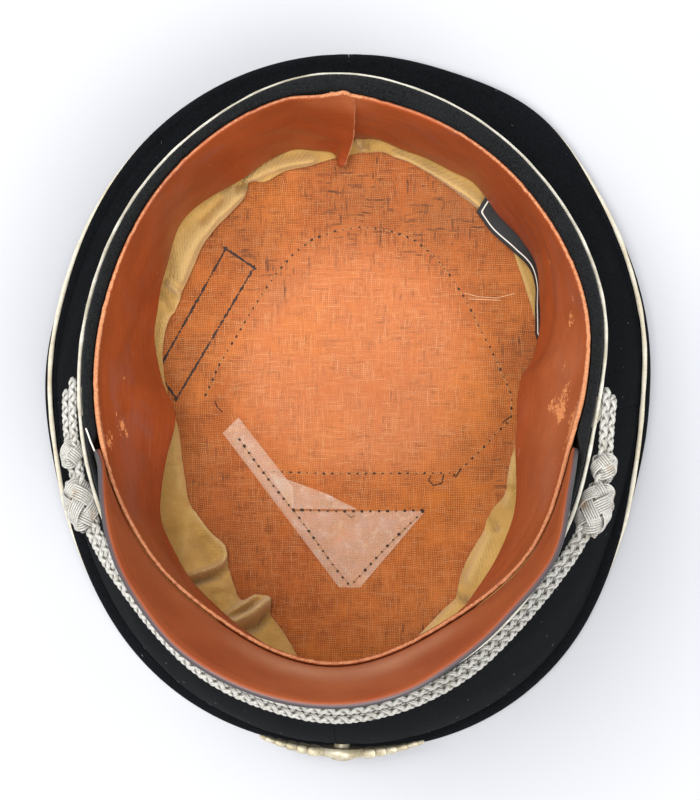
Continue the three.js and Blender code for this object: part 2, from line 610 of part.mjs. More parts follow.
function badgeParts() {
  const place = (sideways, upward, stand) => {
    const azimuth = BADGE.middle + sideways / (CROWN.front * DEGREE);
    const v = BADGE.high + upward / 62;
    const point = onQuarter(azimuth, v);
    const along = onQuarter(azimuth + 0.5, v).sub(onQuarter(azimuth - 0.5, v)).normalize();
    const rise = onQuarter(azimuth, v + 0.02).sub(onQuarter(azimuth, v - 0.02)).normalize();
    const normal = along.clone().cross(rise).normalize();
    if (normal.y > 0) normal.negate();
    point.addScaledVector(normal, stand);
    return { point, along, rise: normal.clone().cross(along), normal };
  };
  const blob = (sideways, upward, lean, size, rounding = 0, stand = BADGE.stand) => {
    const { point, along, rise, normal } = place(sideways, upward, stand - 0.05 * Math.abs(sideways));
    const basis = new THREE.Matrix4().makeBasis(along, rise, normal).setPosition(point);
    const shape = new THREE.OctahedronGeometry(1, rounding);
    shape.scale(...size).rotateZ(lean * DEGREE);
    return shape.applyMatrix4(basis);
  };
  const boss = blob(0, 0, 0, [BADGE.boss, BADGE.boss, BADGE.relief], 2);
  const post = blob(0, 0, 0, [BADGE.post, BADGE.post, BADGE.stand / 2 + 0.2], 1, BADGE.stand / 2);
  const parts = [boss, post];
  for (const hand of [-1, 1]) {
    for (let i = 0; i < BADGE.leaves; i += 1) {
      const sideways = hand * (BADGE.boss - 1.5 + i * BADGE.pitch);
      const upward = BADGE.rise * i * i - 1.5;
      parts.push(blob(sideways, upward, 0, [BADGE.pitch * 0.95, 1.7, 1.5]));
      for (const side of [-1, 1]) {
        parts.push(blob(sideways, upward + 2.3 * side, 32 * hand * side, [BADGE.leaf / 2, 2.3, 1.7]));
      }
    }
  }
  return parts;
}

// ---------------------------------------------------------------- joins and cuts

const solids = await Module();
solids.setup();

// A closed mesh as a solid: corners at the same place are made one first.
function toSolid(geometry) {
  const places = new Map();
  const positions = [];
  const place = geometry.getAttribute('position');
  const listed = geometry.getIndex();
  const index = listed ? Array.from(listed.array) : [...Array(place.count).keys()];
  const corners = index.map((i) => {
    const point = [place.getX(i), place.getY(i), place.getZ(i)];
    const key = point.map((value) => value.toFixed(3)).join();
    if (!places.has(key)) {
      places.set(key, places.size);
      positions.push(...point);
    }
    return places.get(key);
  });
  const faces = [];
  for (let i = 0; i < corners.length; i += 3) {
    const [a, b, c] = corners.slice(i, i + 3);
    if (a !== b && b !== c && c !== a) faces.push(a, b, c);
  }
  const vertProperties = new Float32Array(positions);
  const triVerts = new Uint32Array(faces);
  return new solids.Manifold(new solids.Mesh({ numProp: 3, vertProperties, triVerts }));
}

function fromSolid(solid) {
  const mesh = solid.getMesh();
  const geometry = new THREE.BufferGeometry();
  geometry.setAttribute('position', new THREE.Float32BufferAttribute(mesh.vertProperties, 3));
  geometry.setIndex(Array.from(mesh.triVerts));
  geometry.computeVertexNormals();
  return geometry;
}

function join(parts) {
  return fromSolid(parts.map(toSolid).reduce((whole, part) => whole.add(part)));
}

function cut(body, tools) {
  return fromSolid(tools.map(toSolid).reduce((rest, tool) => rest.subtract(tool), toSolid(body)));
}

// ---------------------------------------------------------------- finishes

function finish(color, roughness, metalness = 0) {
  return new THREE.MeshStandardMaterial({ color, roughness, metalness });
}

const WOOL = finish(0x16181c, 0.95);
const BAND_CLOTH = finish(0x101114, 0.98);
const CREAM = finish(0xd7cfb4, 0.85);
const FIBRE = finish(0x6e3218, 0.45);
const HIDE = finish(0x96502d, 0.5);
const KHAKI = finish(0xa5874b, 0.9);
const OILCLOTH = finish(0xc87341, 0.5);
const CELLULOID = finish(0xd29a7c, 0.25);
const LABEL_CLOTH = finish(0x141416, 0.8);
const SILVER_THREAD = finish(0xcdcbc3, 0.45, 0.5);
const SILVER = finish(0x9c968a, 0.45, 0.8);

// ---------------------------------------------------------------- the cap

const cap = new THREE.Group();

function piece(name, geometry, material) {
  const mesh = new THREE.Mesh(geometry, material);
  mesh.name = name;
  cap.add(mesh);
}

piece('crown_top', crownTop(), WOOL);
piece('crown_piping', crownPiping(), CREAM);
piece('quarter_rear_right', quarter(SEAMS.right, SEAMS.rear), WOOL);
piece('quarter_rear_left', quarter(SEAMS.rear, SEAMS.left), WOOL);
piece('quarter_front_left', quarter(SEAMS.left, SEAMS.front), WOOL);
piece('quarter_front_right', quarter(SEAMS.front, SEAMS.right + 360), WOOL);
piece('band', band(), BAND_CLOTH);
piece('piping_lower', bandPiping(pipingEdge, 4.6), CREAM);
piece('piping_upper', bandPiping((azimuth) => bandOut(azimuth) + 0.6, BAND_DEPTH + 1.35), CREAM);
piece('visor', visor(), FIBRE);
piece('sweatband', sweatband(), HIDE);
piece('lining_side', liningSide(), KHAKI);
piece('lining_top', liningTop(), OILCLOTH);
piece('sweat_shield', sweatShield(), CELLULOID);
piece('label', label(), LABEL_CLOTH);
piece('chin_cord', rope(cordPoints(), ROPE, 8, true), SILVER_THREAD);
for (const spec of KNOTS) {
  const bore = ROPE + 1.5 * CLEARANCE;
  const tools = [-1, 1].map((hand) => ropeStretch(spec.at, hand, bore, spec.length / 2));
  piece(spec.name, cut(knot(spec), tools), SILVER_THREAD);
}
for (const { name, at } of BUTTONS) piece(name, button(at), SILVER);
piece('badge', join(badgeParts()), SILVER);

export default cap;
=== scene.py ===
# %% [markdown]
# # A visor cap, lying upside-down
# The cap lies on its crown with the head opening up, so most of what shows is its inside: a leather
# sweatband, a khaki cotton side lining, a rust-coloured oilcloth top lining and the underside of a
# fibre visor. Outside are black wool, a black band, cream pipings, a silver chin cord and a badge.
# The imported model gives each piece's place. We load it first and keep its box, so that the
# finished model's box can be set beside it at the end.

# %% Load the imported frame
import math

import bmesh
import bpy
import numpy as np
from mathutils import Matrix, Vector


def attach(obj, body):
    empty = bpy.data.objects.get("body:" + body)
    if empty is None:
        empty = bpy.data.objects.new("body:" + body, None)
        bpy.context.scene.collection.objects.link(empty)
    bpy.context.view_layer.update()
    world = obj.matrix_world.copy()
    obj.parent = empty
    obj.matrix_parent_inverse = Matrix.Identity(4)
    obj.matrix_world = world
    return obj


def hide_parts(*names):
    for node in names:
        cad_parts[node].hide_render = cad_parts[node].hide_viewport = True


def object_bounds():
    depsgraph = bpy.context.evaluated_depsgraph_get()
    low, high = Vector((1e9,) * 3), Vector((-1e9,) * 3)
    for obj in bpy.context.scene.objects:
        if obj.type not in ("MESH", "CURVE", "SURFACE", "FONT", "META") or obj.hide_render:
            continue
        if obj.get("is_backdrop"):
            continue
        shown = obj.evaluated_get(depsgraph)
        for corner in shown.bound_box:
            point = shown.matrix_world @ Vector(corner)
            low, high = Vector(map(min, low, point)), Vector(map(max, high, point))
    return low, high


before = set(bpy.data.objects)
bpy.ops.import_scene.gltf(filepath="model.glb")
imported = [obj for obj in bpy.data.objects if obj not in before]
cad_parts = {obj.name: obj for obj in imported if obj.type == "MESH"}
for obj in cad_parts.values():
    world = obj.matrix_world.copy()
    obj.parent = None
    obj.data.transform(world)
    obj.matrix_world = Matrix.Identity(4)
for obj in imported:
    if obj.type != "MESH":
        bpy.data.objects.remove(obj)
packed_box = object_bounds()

MM = 0.001
print("packed box", [round(value, 4) for corner in packed_box for value in corner])

# %% [markdown]
# ## Where we stand
# The eye is straight above the cap, a good arm's length up, so the visor's edge nearest to the eye
# looks a little larger than the crown that it stands over. A long lens keeps that effect small.

# %% Camera
EYE = Vector((0.75, 2.0, 834.5)) * MM
LONG_SIDE, FOCUS = 36.0, 97.83

eye = bpy.data.objects.new("eye", bpy.data.cameras.new("eye"))
eye.data.sensor_width = LONG_SIDE
eye.data.lens = FOCUS
eye.data.clip_start = 0.01
eye.location = EYE
bpy.context.scene.collection.objects.link(eye)
bpy.context.scene.camera = eye
print("eye", round(EYE.z, 3), "m above the table")

# %% [markdown]
# ## The cap's own measures
# A milliner works from the rim: an egg-shaped head opening. We do the same, and say where a point
# is by its azimuth round the rim, how far outside the rim it lies and how deep below it. The rim
# leans back, because the cap is taller in front.

# %% The rim, the crown and the disc
RIM = {"x": -2.25, "y": 18, "z": 83.2, "half": 86, "front": 104, "rear": 93, "powers": (2, 2)}
CROWN = {"x": 0.3, "y": 11.1, "half": 113.8, "front": 142.4, "rear": 122.9, "powers": (2.19, 2.02)}
DISC = {"x": 0.75, "y": -4, "z": 7.2, "half": 76, "front": 99, "rear": 99, "powers": (2, 2)}
LEAN = math.radians(14)
ROLL = 4
CORD_WIDTH = 0.95
ROOM = 0.3
BAND_DEPTH, BAND_WALL = 43.5, 2.4
LEATHER, CLOTH, COTTON, OILCLOTH = 1.6, 1.6, 1.0, 0.9
# How deep each sheet is from edge to edge, roughly, to place rows and spots along it.
QUARTER_DEPTH, VISOR_DEPTH, SWEATBAND_DEPTH, LINING_DEPTH, TAB_DEPTH = 62, 46, 51, 72, 32
# How far one degree takes us round the rim, and round the crown.
RIM_STEP, CROWN_STEP = 1.5, 1.9


def cosine(degrees):
    return np.cos(np.radians(degrees))


def sine(degrees):
    return np.sin(np.radians(degrees))


def step_up(low, high, value):
    share = np.clip((value - low) / (high - low), 0, 1)
    return share * share * (3 - 2 * share)


def bell(distance, width):
    """1 in the middle, dying away softly on both sides."""
    return np.exp(-((distance / width) ** 2))


def oval_radius(azimuth, oval):
    ahead = sine(azimuth) < 0
    end = np.where(ahead, oval["front"], oval["rear"])
    power = np.where(ahead, *oval["powers"])
    across = np.abs(cosine(azimuth)) / oval["half"]
    return (across**power + (np.abs(sine(azimuth)) / end) ** power) ** (-1 / power)


def on_oval(azimuth, oval, out, z):
    reach = oval_radius(azimuth, oval) + out
    x = oval["x"] + reach * cosine(azimuth)
    y = oval["y"] + reach * sine(azimuth)
    return np.stack(np.broadcast_arrays(x, y, z + 0.0 * reach), axis=-1)


def on_cap(azimuth, out, deep):
    point = on_oval(azimuth, RIM, out, RIM["z"]).copy()
    lower = (point[..., 1] - RIM["y"]) * math.tan(LEAN) + deep * math.cos(LEAN)
    point[..., 2] -= lower
    point[..., 1] -= deep * math.sin(LEAN)
    return point


def outward(azimuth, up=0.0):
    way = np.stack(np.broadcast_arrays(cosine(azimuth), sine(azimuth), up), axis=-1)
    return way / np.linalg.norm(way, axis=-1, keepdims=True)


print("rim", 2 * RIM["half"], "x", RIM["front"] + RIM["rear"], "mm")

# %% [markdown]
# ## Hand-shaped unevenness
# Nothing on an old cap is a clean oval. Short lists say how far each edge strays at a few azimuths,
# and a smooth periodic curve is drawn through each list, so that the edge closes on itself.

# %% Edges by azimuth
def around(rows, column=1):
    at = np.array([row[0] for row in rows], float)
    values = np.array([row[column] for row in rows], float)
    at = np.concatenate([at[-2:] - 360, at, at[:3] + 360])
    values = np.concatenate([values[-2:], values, values[:3]])
    slopes = np.zeros_like(values)
    slopes[1:-1] = (values[2:] - values[:-2]) / (at[2:] - at[:-2])

    def read(azimuth):
        a = (np.asarray(azimuth, float) - at[2]) % 360 + at[2]
        i = np.searchsorted(at, a, side="right") - 1
        span = at[i + 1] - at[i]
        t = (a - at[i]) / span
        start, end = values[i], values[i + 1]
        leave, arrive = slopes[i] * span, slopes[i + 1] * span
        bend = 3 * (end - start) - 2 * leave - arrive
        return start + t * (leave + t * (bend + t * (leave + arrive - 2 * (end - start))))

    return read


LEATHER_EDGE = [(10, 0.8), (40, -1.2), (75, -1.7), (97, 1.2), (128, -1.1), (160, -2.2), (194, 0.3),
                (228, 0.3), (245, -1.1), (268, 0.8), (291, -3), (314, -0.8), (336, -3), (352, -1)]
BAND_EDGE = [(12, 7.3), (45, 6.7), (70, 7.3), (95, 9.2), (122, 5.4), (160, 4), (182, 5), (207, 7),
             (222, 8.2), (245, 9.6), (270, 10.2), (290, 9), (306, 7.2), (322, 5.4), (345, 3.6)]
# Azimuth, lean of the leather's free edge from its own rim, and how deep it hangs.
FREE_EDGE = [(2, -20, 50), (8, -14.8, 51), (14, -10.8, 51), (24, -5, 51), (33, 0.7, 51),
             (40, 1.6, 51), (48, 1.4, 51), (53, 3, 50), (58, 4.8, 50), (64, 4, 50), (74, 4.4, 50),
             (82, 4.8, 50), (90, 1.4, 51), (95, 0, 51), (103, 0.4, 51), (116, -2.4, 50),
             (133, 0.4, 50), (148, -6.4, 50), (163, -10.4, 51), (178, -18, 51), (189, -23.5, 52),
             (200, -19, 52), (216, -9.6, 51), (232, -7.2, 50), (252, -5, 49), (272, -4.5, 48),
             (292, -3.5, 49), (312, -9.5, 50), (328, -11.6, 51), (345, -17.6, 51)]
# Azimuth, dent of the crown's outline, lift of its sagging side, and the seam's turn on the roll.
CROWN_EDGE = [(8, 0.5, 8, 62), (24, 0.2, 7, 46), (37, 0.1, 5.5, 8), (54, 3, 3.5, -25),
              (72, 0.2, 1.6, -36), (90, 0.1, 0.5, -40), (125, -0.4, 2.5, -28), (150, -1.6, 5, 8),
              (164, -1.2, 6.3, 32), (182, 1.2, 7, 60), (199, 0, 5.4, 44), (211, -0.7, 3.8, -8),
              (232, 0, 1.4, -35), (258, -0.8, 0.2, -40), (284, 0.6, 0.2, -40),
              (308, 0.9, 1.4, -36), (328, -1.7, 4, -8), (338, -1.4, 5.5, 46), (352, 0, 7.2, 74)]
QUARTER_BULGE = [(0, 4), (45, 3), (90, 2.4), (135, 3), (180, 4), (225, 6), (246, 10), (268, 14),
                 (290, 10), (312, 6)]
# Azimuth, where the side lining lies on the disc, and how far it bellies out.
LINING_EDGE = [(0, 68.5, 6), (9, 74, 6), (18, 77.5, 6), (29, 79.4, 6), (41, 85, 5), (48, 89.6, 5),
               (58, 92, 4), (64, 93.6, 4), (72, 96.8, 4), (79, 99.6, 4), (86, 100.2, 3),
               (93, 98, 3), (99, 96, 3), (105, 95.8, 4), (110, 94.4, 4), (113.4, 96.4, 4),
               (115.6, 92.4, 4), (120, 89.6, 5), (125, 87.8, 5), (130, 85.8, 5), (136, 82.2, 5),
               (141, 80, 5), (145, 78.8, 5), (150, 77.8, 6), (156, 77, 6), (169, 71.5, 8),
               (181, 66, 8), (188, 65, 8), (201, 66.8, 8), (208, 69, 8), (217, 69.6, 9),
               (226, 68.6, 9), (230, 72, 9), (235, 77, 8), (239.5, 81, 8), (242, 77, 9),
               (246.4, 75.6, 10), (248.4, 81, 9), (252, 84.6, 8), (255, 88.5, 8), (259, 95, 8),
               (272, 100, 7), (280, 93, 8), (285, 89, 8), (291, 84.4, 9), (296, 81.4, 9),
               (300.4, 79.6, 8), (302, 76.8, 9), (307, 71.6, 9), (312, 68.8, 9), (319, 66.8, 9),
               (323, 65, 8), (328, 64.7, 8), (333, 65.7, 8), (341, 63.6, 7), (350, 63.6, 7)]
VISOR_FLARE = [(197, 2), (204, 2.2), (209, 3.5), (216, 6.8), (222, 10), (228, 12.8), (235, 15.2),
               (243, 18), (253, 19.4), (263, 19.9), (273, 19.3), (281, 17.4), (287, 14.8),
               (294, 12.4), (301, 10.2), (308, 9.2), (313, 8.3), (318, 6), (322, 3.6), (328, 1.2),
               (338, -0.3)]

leather_edge, piping_edge = around(LEATHER_EDGE), around(BAND_EDGE)
free_lean, free_deep = around(FREE_EDGE), around(FREE_EDGE, 2)
crown_out, crown_lift, crown_seam = (around(CROWN_EDGE, column) for column in (1, 2, 3))
quarter_bulge, visor_flare = around(QUARTER_BULGE), around(VISOR_FLARE)
lining_reach, lining_bulge = around(LINING_EDGE), around(LINING_EDGE, 2)


def band_out(azimuth):
    return piping_edge(azimuth) - CORD_WIDTH - ROOM


strays = [row[1] for row in LEATHER_EDGE]
print("leather edge strays", min(strays), "to", max(strays), "mm")

# %% [markdown]
# ## Cutting and sewing
# Every wall of the cap is a sheet: cloth or leather with a face, a back and rounded edges. One
# helper lays out the face as a grid, gives it thickness along its normals, and thins it to nothing
# in a half circle at each free edge. The flat lay of the cloth is kept as a UV map in millimetres,
# so that a weave or a grain follows the piece and not the room.

# %% A sheet with two sides
def mesh_of(name, corners, faces, lay, kinds, finishes):
    mesh = bpy.data.meshes.new(name)
    mesh.from_pydata((corners * MM).tolist(), [], faces.tolist())
    mesh.uv_layers.new(name="lay").data.foreach_set("uv", lay.astype(np.float32).ravel())
    mesh.polygons.foreach_set("material_index", kinds.astype(np.int32))
    for finish in finishes:
        mesh.materials.append(finish)
    return mesh


def close_up(mesh, fill=False):
    """Merges the doubled corners at seams and poles, and turns the shell to face outwards."""
    shell = bmesh.new()
    shell.from_mesh(mesh)
    bmesh.ops.remove_doubles(shell, verts=shell.verts, dist=2e-6)
    bmesh.ops.dissolve_degenerate(shell, edges=shell.edges, dist=1e-6)
    if fill:
        bmesh.ops.holes_fill(shell, edges=[e for e in shell.edges if e.is_boundary], sides=0)
        bmesh.ops.recalc_face_normals(shell, faces=shell.faces)
    elif shell.calc_volume(signed=True) < 0:
        bmesh.ops.reverse_faces(shell, faces=shell.faces)
    shell.to_mesh(mesh)
    shell.free()
    return mesh


def stand(name, mesh, angle=55):
    mesh.polygons.foreach_set("use_smooth", np.ones(len(mesh.polygons), bool))
    mesh.set_sharp_from_angle(angle=math.radians(angle))
    piece = bpy.data.objects.new(name, mesh)
    bpy.context.scene.collection.objects.link(piece)
    return piece


def note(mesh, name, values):
    layer = mesh.attributes.new(name, "FLOAT", "POINT")
    layer.data.foreach_set("value", values.astype(np.float32).ravel())


def strip_faces(rings, sides, closed):
    """Quads between neighbouring rings of corners, each quad as (ring, side) pairs."""
    rings = rings if closed else rings - 1
    ring, side = (part.ravel() for part in np.meshgrid(range(rings), range(sides), indexing="ij"))
    return (np.stack([ring, ring + 1, ring + 1, ring], 1),
            np.stack([side, side, side + 1, side + 1], 1))


def rows_along(length, wall, count):
    """Shares along a sheet, close together at both rounded edges."""
    edge = np.array([0, 0.12, 0.4, 1]) * wall / 2 / length
    middle = np.linspace(edge[-1], 1 - edge[-1], count)
    return np.concatenate([edge[:-1], middle, 1 - edge[-2::-1]])


def lengths_along(points):
    """How far each point of a closed line lies from the first, and the way back to it."""
    steps = np.linalg.norm(np.diff(points, axis=0, append=points[:1]), axis=-1)
    return np.concatenate([[0], np.cumsum(steps)])


def sewn_sheet(name, face, wall, side, azimuths, rows, finishes, closed=False, pole=False,
               notes=None):
    """A sheet laid out by face(azimuth, share), with its wall on one side of that face."""
    azimuth, v = np.meshgrid(azimuths, rows, indexing="ij")
    near = face(azimuth, v)
    count, deep = azimuth.shape
    if closed:
        around_it = np.roll(near, -1, 0) - np.roll(near, 1, 0)
    else:
        around_it = np.gradient(near, axis=0)
    normal = np.cross(around_it, np.gradient(near, axis=1))
    length = np.linalg.norm(normal, axis=-1, keepdims=True)
    normal = np.where(length > 1e-7, normal / np.maximum(length, 1e-7), (0, 0, -1)) * side
    along = np.linalg.norm(np.diff(near, axis=1), axis=-1)
    along = np.concatenate([np.zeros((count, 1)), np.cumsum(along, axis=1)], axis=1)
    from_edge = along[:, -1:] - along
    if not pole:
        from_edge = np.minimum(from_edge, along)
    thin = 1 - np.clip(from_edge / (wall / 2), 0, 1)
    half = wall / 2 * np.sqrt(1 - thin**2)
    middle = near + normal * wall / 2
    offset = normal * half[..., None]
    corners = np.concatenate([middle - offset, (middle + offset)[:, ::-1]], axis=1)
    u = lengths_along(near[:, deep // 2])
    down = np.concatenate([along, along[:, ::-1]], axis=1)
    sides = 2 * deep
    ring, part = strip_faces(count, sides, closed)
    faces = (ring % count) * sides + part % sides
    lay = np.stack([u[ring], down[ring % count, part % sides]], axis=-1)
    kinds = (part[:, 0] >= deep).astype(int)
    if not closed:
        k = np.arange(deep - 1)
        for end, turned in ((0, False), (count - 1, True)):
            cap = end * sides + np.stack([k, k + 1, sides - 2 - k, sides - 1 - k], 1)
            faces = np.concatenate([faces, cap[:, ::-1] if turned else cap])
            cap_lay = np.stack([0 * cap + u[end], down[end, cap % sides]], axis=-1)
            lay = np.concatenate([lay, cap_lay])
            kinds = np.concatenate([kinds, np.zeros(deep - 1, int)])
    kinds = kinds if len(finishes) > 1 else kinds * 0
    mesh = mesh_of(name, corners.reshape(-1, 3), faces, lay, kinds, finishes)
    for key, values in (notes or {}).items():
        value = values(azimuth, along)
        note(mesh, key, np.concatenate([value, value[:, ::-1]], axis=1))
    return stand(name, close_up(mesh))


def ring_body(name, sections, finishes):
    """A body that runs right round the cap, from one closed section of corners at each azimuth."""
    count, sides = sections.shape[:2]
    ring, part = strip_faces(count, sides, True)
    faces = (ring % count) * sides + part % sides
    u, w = lengths_along(sections[:, 0]), lengths_along(sections[0])
    lay = np.stack([u[ring], w[part]], axis=-1)
    mesh = mesh_of(name, sections.reshape(-1, 3), faces, lay, np.zeros(len(faces)), finishes)
    return stand(name, close_up(mesh))


def turned(outline, count, bumps=None):
    """Turns an outline of radii and rises round its axis: a grid of corners and its quads."""
    turns = np.linspace(0, math.tau, count + 1)[:-1]
    radius, rise = (column[:, None] + 0 * turns for column in np.array(outline).T)
    if bumps:
        rise = rise + bumps(radius, rise, turns)
    ring, part = strip_faces(len(outline), count, False)
    shell = np.stack([radius * np.cos(turns), radius * np.sin(turns), rise], -1)
    return shell, ring * count + part % count


def plain_mesh(name, corners, faces, finish):
    """A mesh of one finish whose pattern doesn't follow the surface."""
    lay, kinds = np.zeros((*faces.shape, 2)), np.zeros(len(faces))
    return mesh_of(name, corners.reshape(-1, 3), faces, lay, kinds, [finish])


def hand_in(piece, slot, *nodes):
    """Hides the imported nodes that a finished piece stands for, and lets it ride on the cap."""
    if nodes:
        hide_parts(*nodes)
    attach(piece, "root")
    print(f"{piece.name}: {sum(len(p.vertices) - 2 for p in piece.data.polygons)} triangles")
    return piece


def print_area(piece):
    """The area of a sheet's face is half of what its two sides measure."""
    area = sum(face.area for face in piece.data.polygons) / 2
    print(f"{piece.name}: {area:.4f} square metres")


# %% [markdown]
# ## Finishes
# Each cloth and leather gets its own shader tree. A small helper adds a node and feeds its inputs,
# so that a tree reads in the order a dyer would work: ground colour, stains, then nap or grain.

# %% Helpers for shader and geometry trees
def wire(tree, kind, inputs=None, **settings):
    node = tree.nodes.new(kind)
    for key, value in settings.items():
        setattr(node, key, value)
    for key, value in (inputs or {}).items():
        if isinstance(value, bpy.types.NodeSocket):
            tree.links.new(value, node.inputs[key])
        else:
            node.inputs[key].default_value = value
    return node


def sums(tree, operation, a, b=0.0, clamp=False):
    inputs = {0: a, 1: b}
    return wire(tree, "ShaderNodeMath", inputs, operation=operation, use_clamp=clamp).outputs[0]


def times(tree, a, b, clamp=False):
    return sums(tree, "MULTIPLY", a, b, clamp)


def plus(tree, a, b, clamp=False):
    return sums(tree, "ADD", a, b, clamp)


def dye(code):
    """An sRGB hex code as linear colour."""
    parts = [int(code[i:i + 2], 16) / 255 for i in (0, 2, 4)]
    return (*[p / 12.92 if p <= 0.04045 else ((p + 0.055) / 1.055) ** 2.4 for p in parts], 1)


def bare_finish(name, roughness, specular=0.5, **sockets):
    finish = bpy.data.materials.new(name)
    finish.use_nodes = True
    shader = finish.node_tree.nodes["Principled BSDF"]
    shader.inputs["Roughness"].default_value = roughness
    shader.inputs["Specular IOR Level"].default_value = specular
    for key, value in sockets.items():
        shader.inputs[key.replace("_", " ").title()].default_value = value
    return finish, finish.node_tree, shader


def object_place(tree, scale=(1, 1, 1), turn=0.0):
    place = wire(tree, "ShaderNodeTexCoord").outputs["Object"]
    inputs = {"Vector": place, "Rotation": (0, 0, turn), "Scale": scale}
    return wire(tree, "ShaderNodeMapping", inputs).outputs["Vector"]


def cloth_place(tree, scale=(1, 1, 1)):
    place = wire(tree, "ShaderNodeUVMap", uv_map="lay").outputs["UV"]
    return wire(tree, "ShaderNodeMapping", {"Vector": place, "Scale": scale}).outputs["Vector"]


def clouds(tree, place, scale=1.0, detail=3.0, roughness=0.55, distortion=0.0):
    inputs = {"Vector": place, "Scale": scale, "Detail": detail, "Roughness": roughness,
              "Distortion": distortion}
    return wire(tree, "ShaderNodeTexNoise", inputs).outputs["Fac"]


def blots(tree, place, size, *settings):
    """Clouds whose size is in millimetres."""
    return clouds(tree, place, 1 / (size * MM), *settings)


def celled(tree, place, size, **settings):
    """Distances in a cell pattern whose size is in millimetres."""
    inputs = {"Vector": place, "Scale": 1 / (size * MM)}
    return wire(tree, "ShaderNodeTexVoronoi", inputs, **settings).outputs["Distance"]


def graded(tree, value, low, high, start=0.0, end=1.0):
    """Stretches a value between two marks to run from start to end."""
    inputs = {"Value": value, "From Min": low, "From Max": high, "To Min": start, "To Max": end}
    return wire(tree, "ShaderNodeMapRange", inputs).outputs["Result"]


def mixed(tree, share, first, second):
    inputs = {0: share, 6: first, 7: second}
    return wire(tree, "ShaderNodeMix", inputs, data_type="RGBA").outputs[2]


def layered(tree, ground, layers):
    """Lays colour after colour over the ground, each by its share."""
    for share, code in layers:
        ground = mixed(tree, share, ground, dye(code))
    return ground


def noted(tree, name):
    return wire(tree, "ShaderNodeAttribute", attribute_name=name).outputs["Fac"]


def relief(tree, shader, height, distance, strength, under=None):
    inputs = {"Height": height, "Distance": distance * MM, "Strength": strength}
    if under is not None:
        inputs["Normal"] = under
    normal = wire(tree, "ShaderNodeBump", inputs).outputs["Normal"]
    tree.links.new(normal, shader.inputs["Normal"])
    return normal


def colour_in(tree, shader, colour):
    tree.links.new(colour, shader.inputs["Base Color"])


def roughen(tree, shader, value, low, high, start, end):
    rough = graded(tree, value, low, high, start, end)
    tree.links.new(rough, shader.inputs["Roughness"])


def twilled(tree, place, **inputs):
    """Slanting ribs, as of threads laid side by side."""
    return wire(tree, "ShaderNodeTexWave", {"Vector": place, "Detail": 2, **inputs},
                bands_direction="DIAGONAL").outputs["Fac"]


# %% [markdown]
# ### Black wool
# The crown is fulled wool: the weave has closed into felt, so it is matt, drinks light and picks up
# specks. Two sizes of noise give the mottled nap. The band's cloth has a short pile, so it takes a
# little sheen as well, which lightens it where it turns away.

# %% Wool and band cloth
def napped_cloth(name, dark, light, grain, sheen, height):
    finish, tree, shader = bare_finish(name, 0.95, 0.1, sheen_weight=sheen, sheen_roughness=0.45)
    place = object_place(tree)
    fine = blots(tree, place, grain, 3, 0.7)
    broad = blots(tree, place, 14, 3)
    fibres = clouds(tree, object_place(tree, (900, 2600, 1800), 0.6), 1, 2, 0.6)
    ground = mixed(tree, graded(tree, fine, 0.35, 0.68), dye(dark), dye(light))
    dusty = times(tree, graded(tree, broad, 0.45, 0.75), 0.35)
    ground = mixed(tree, dusty, ground, dye(light))
    colour_in(tree, shader, ground)
    pile = plus(tree, fine, times(tree, fibres, 0.6))
    relief(tree, shader, pile, height, 0.8)
    return finish


wool = napped_cloth("black_wool", "060709", "121417", 0.9, 0.0, 0.35)
velvet = napped_cloth("black_band_cloth", "070808", "242526", 0.6, 0.06, 0.5)
print("wool and band cloth mixed")

# %% [markdown]
# ### Cream piping
# The piping is a bias strip over a cord. Its threads run slantwise, it has gone yellow, and it is
# greyer where hands touch it.

# %% Piping
def bias_piping(name, clean, soiled):
    finish, tree, shader = bare_finish(name, 0.8, 0.3, sheen_weight=0.15)
    broad = blots(tree, object_place(tree), 11, 4, 0.6)
    fine = blots(tree, object_place(tree), 1.1, 3, 0.6)
    ground = mixed(tree, graded(tree, broad, 0.38, 0.66), dye(clean), dye(soiled))
    ground = mixed(tree, graded(tree, fine, 0.45, 0.8, 0, 0.4), ground, dye("a1967c"))
    colour_in(tree, shader, ground)
    threads = twilled(tree, cloth_place(tree, (1.6, 1.6, 1)), Scale=0.55, Distortion=1.2)
    relief(tree, shader, plus(tree, threads, fine), 0.16, 0.7)
    return finish


cream = bias_piping("cream_piping", "f1ead6", "d8ccb0")
lip_cream = bias_piping("lip_piping", "f4efe0", "bdb59e")
print("piping mixed")
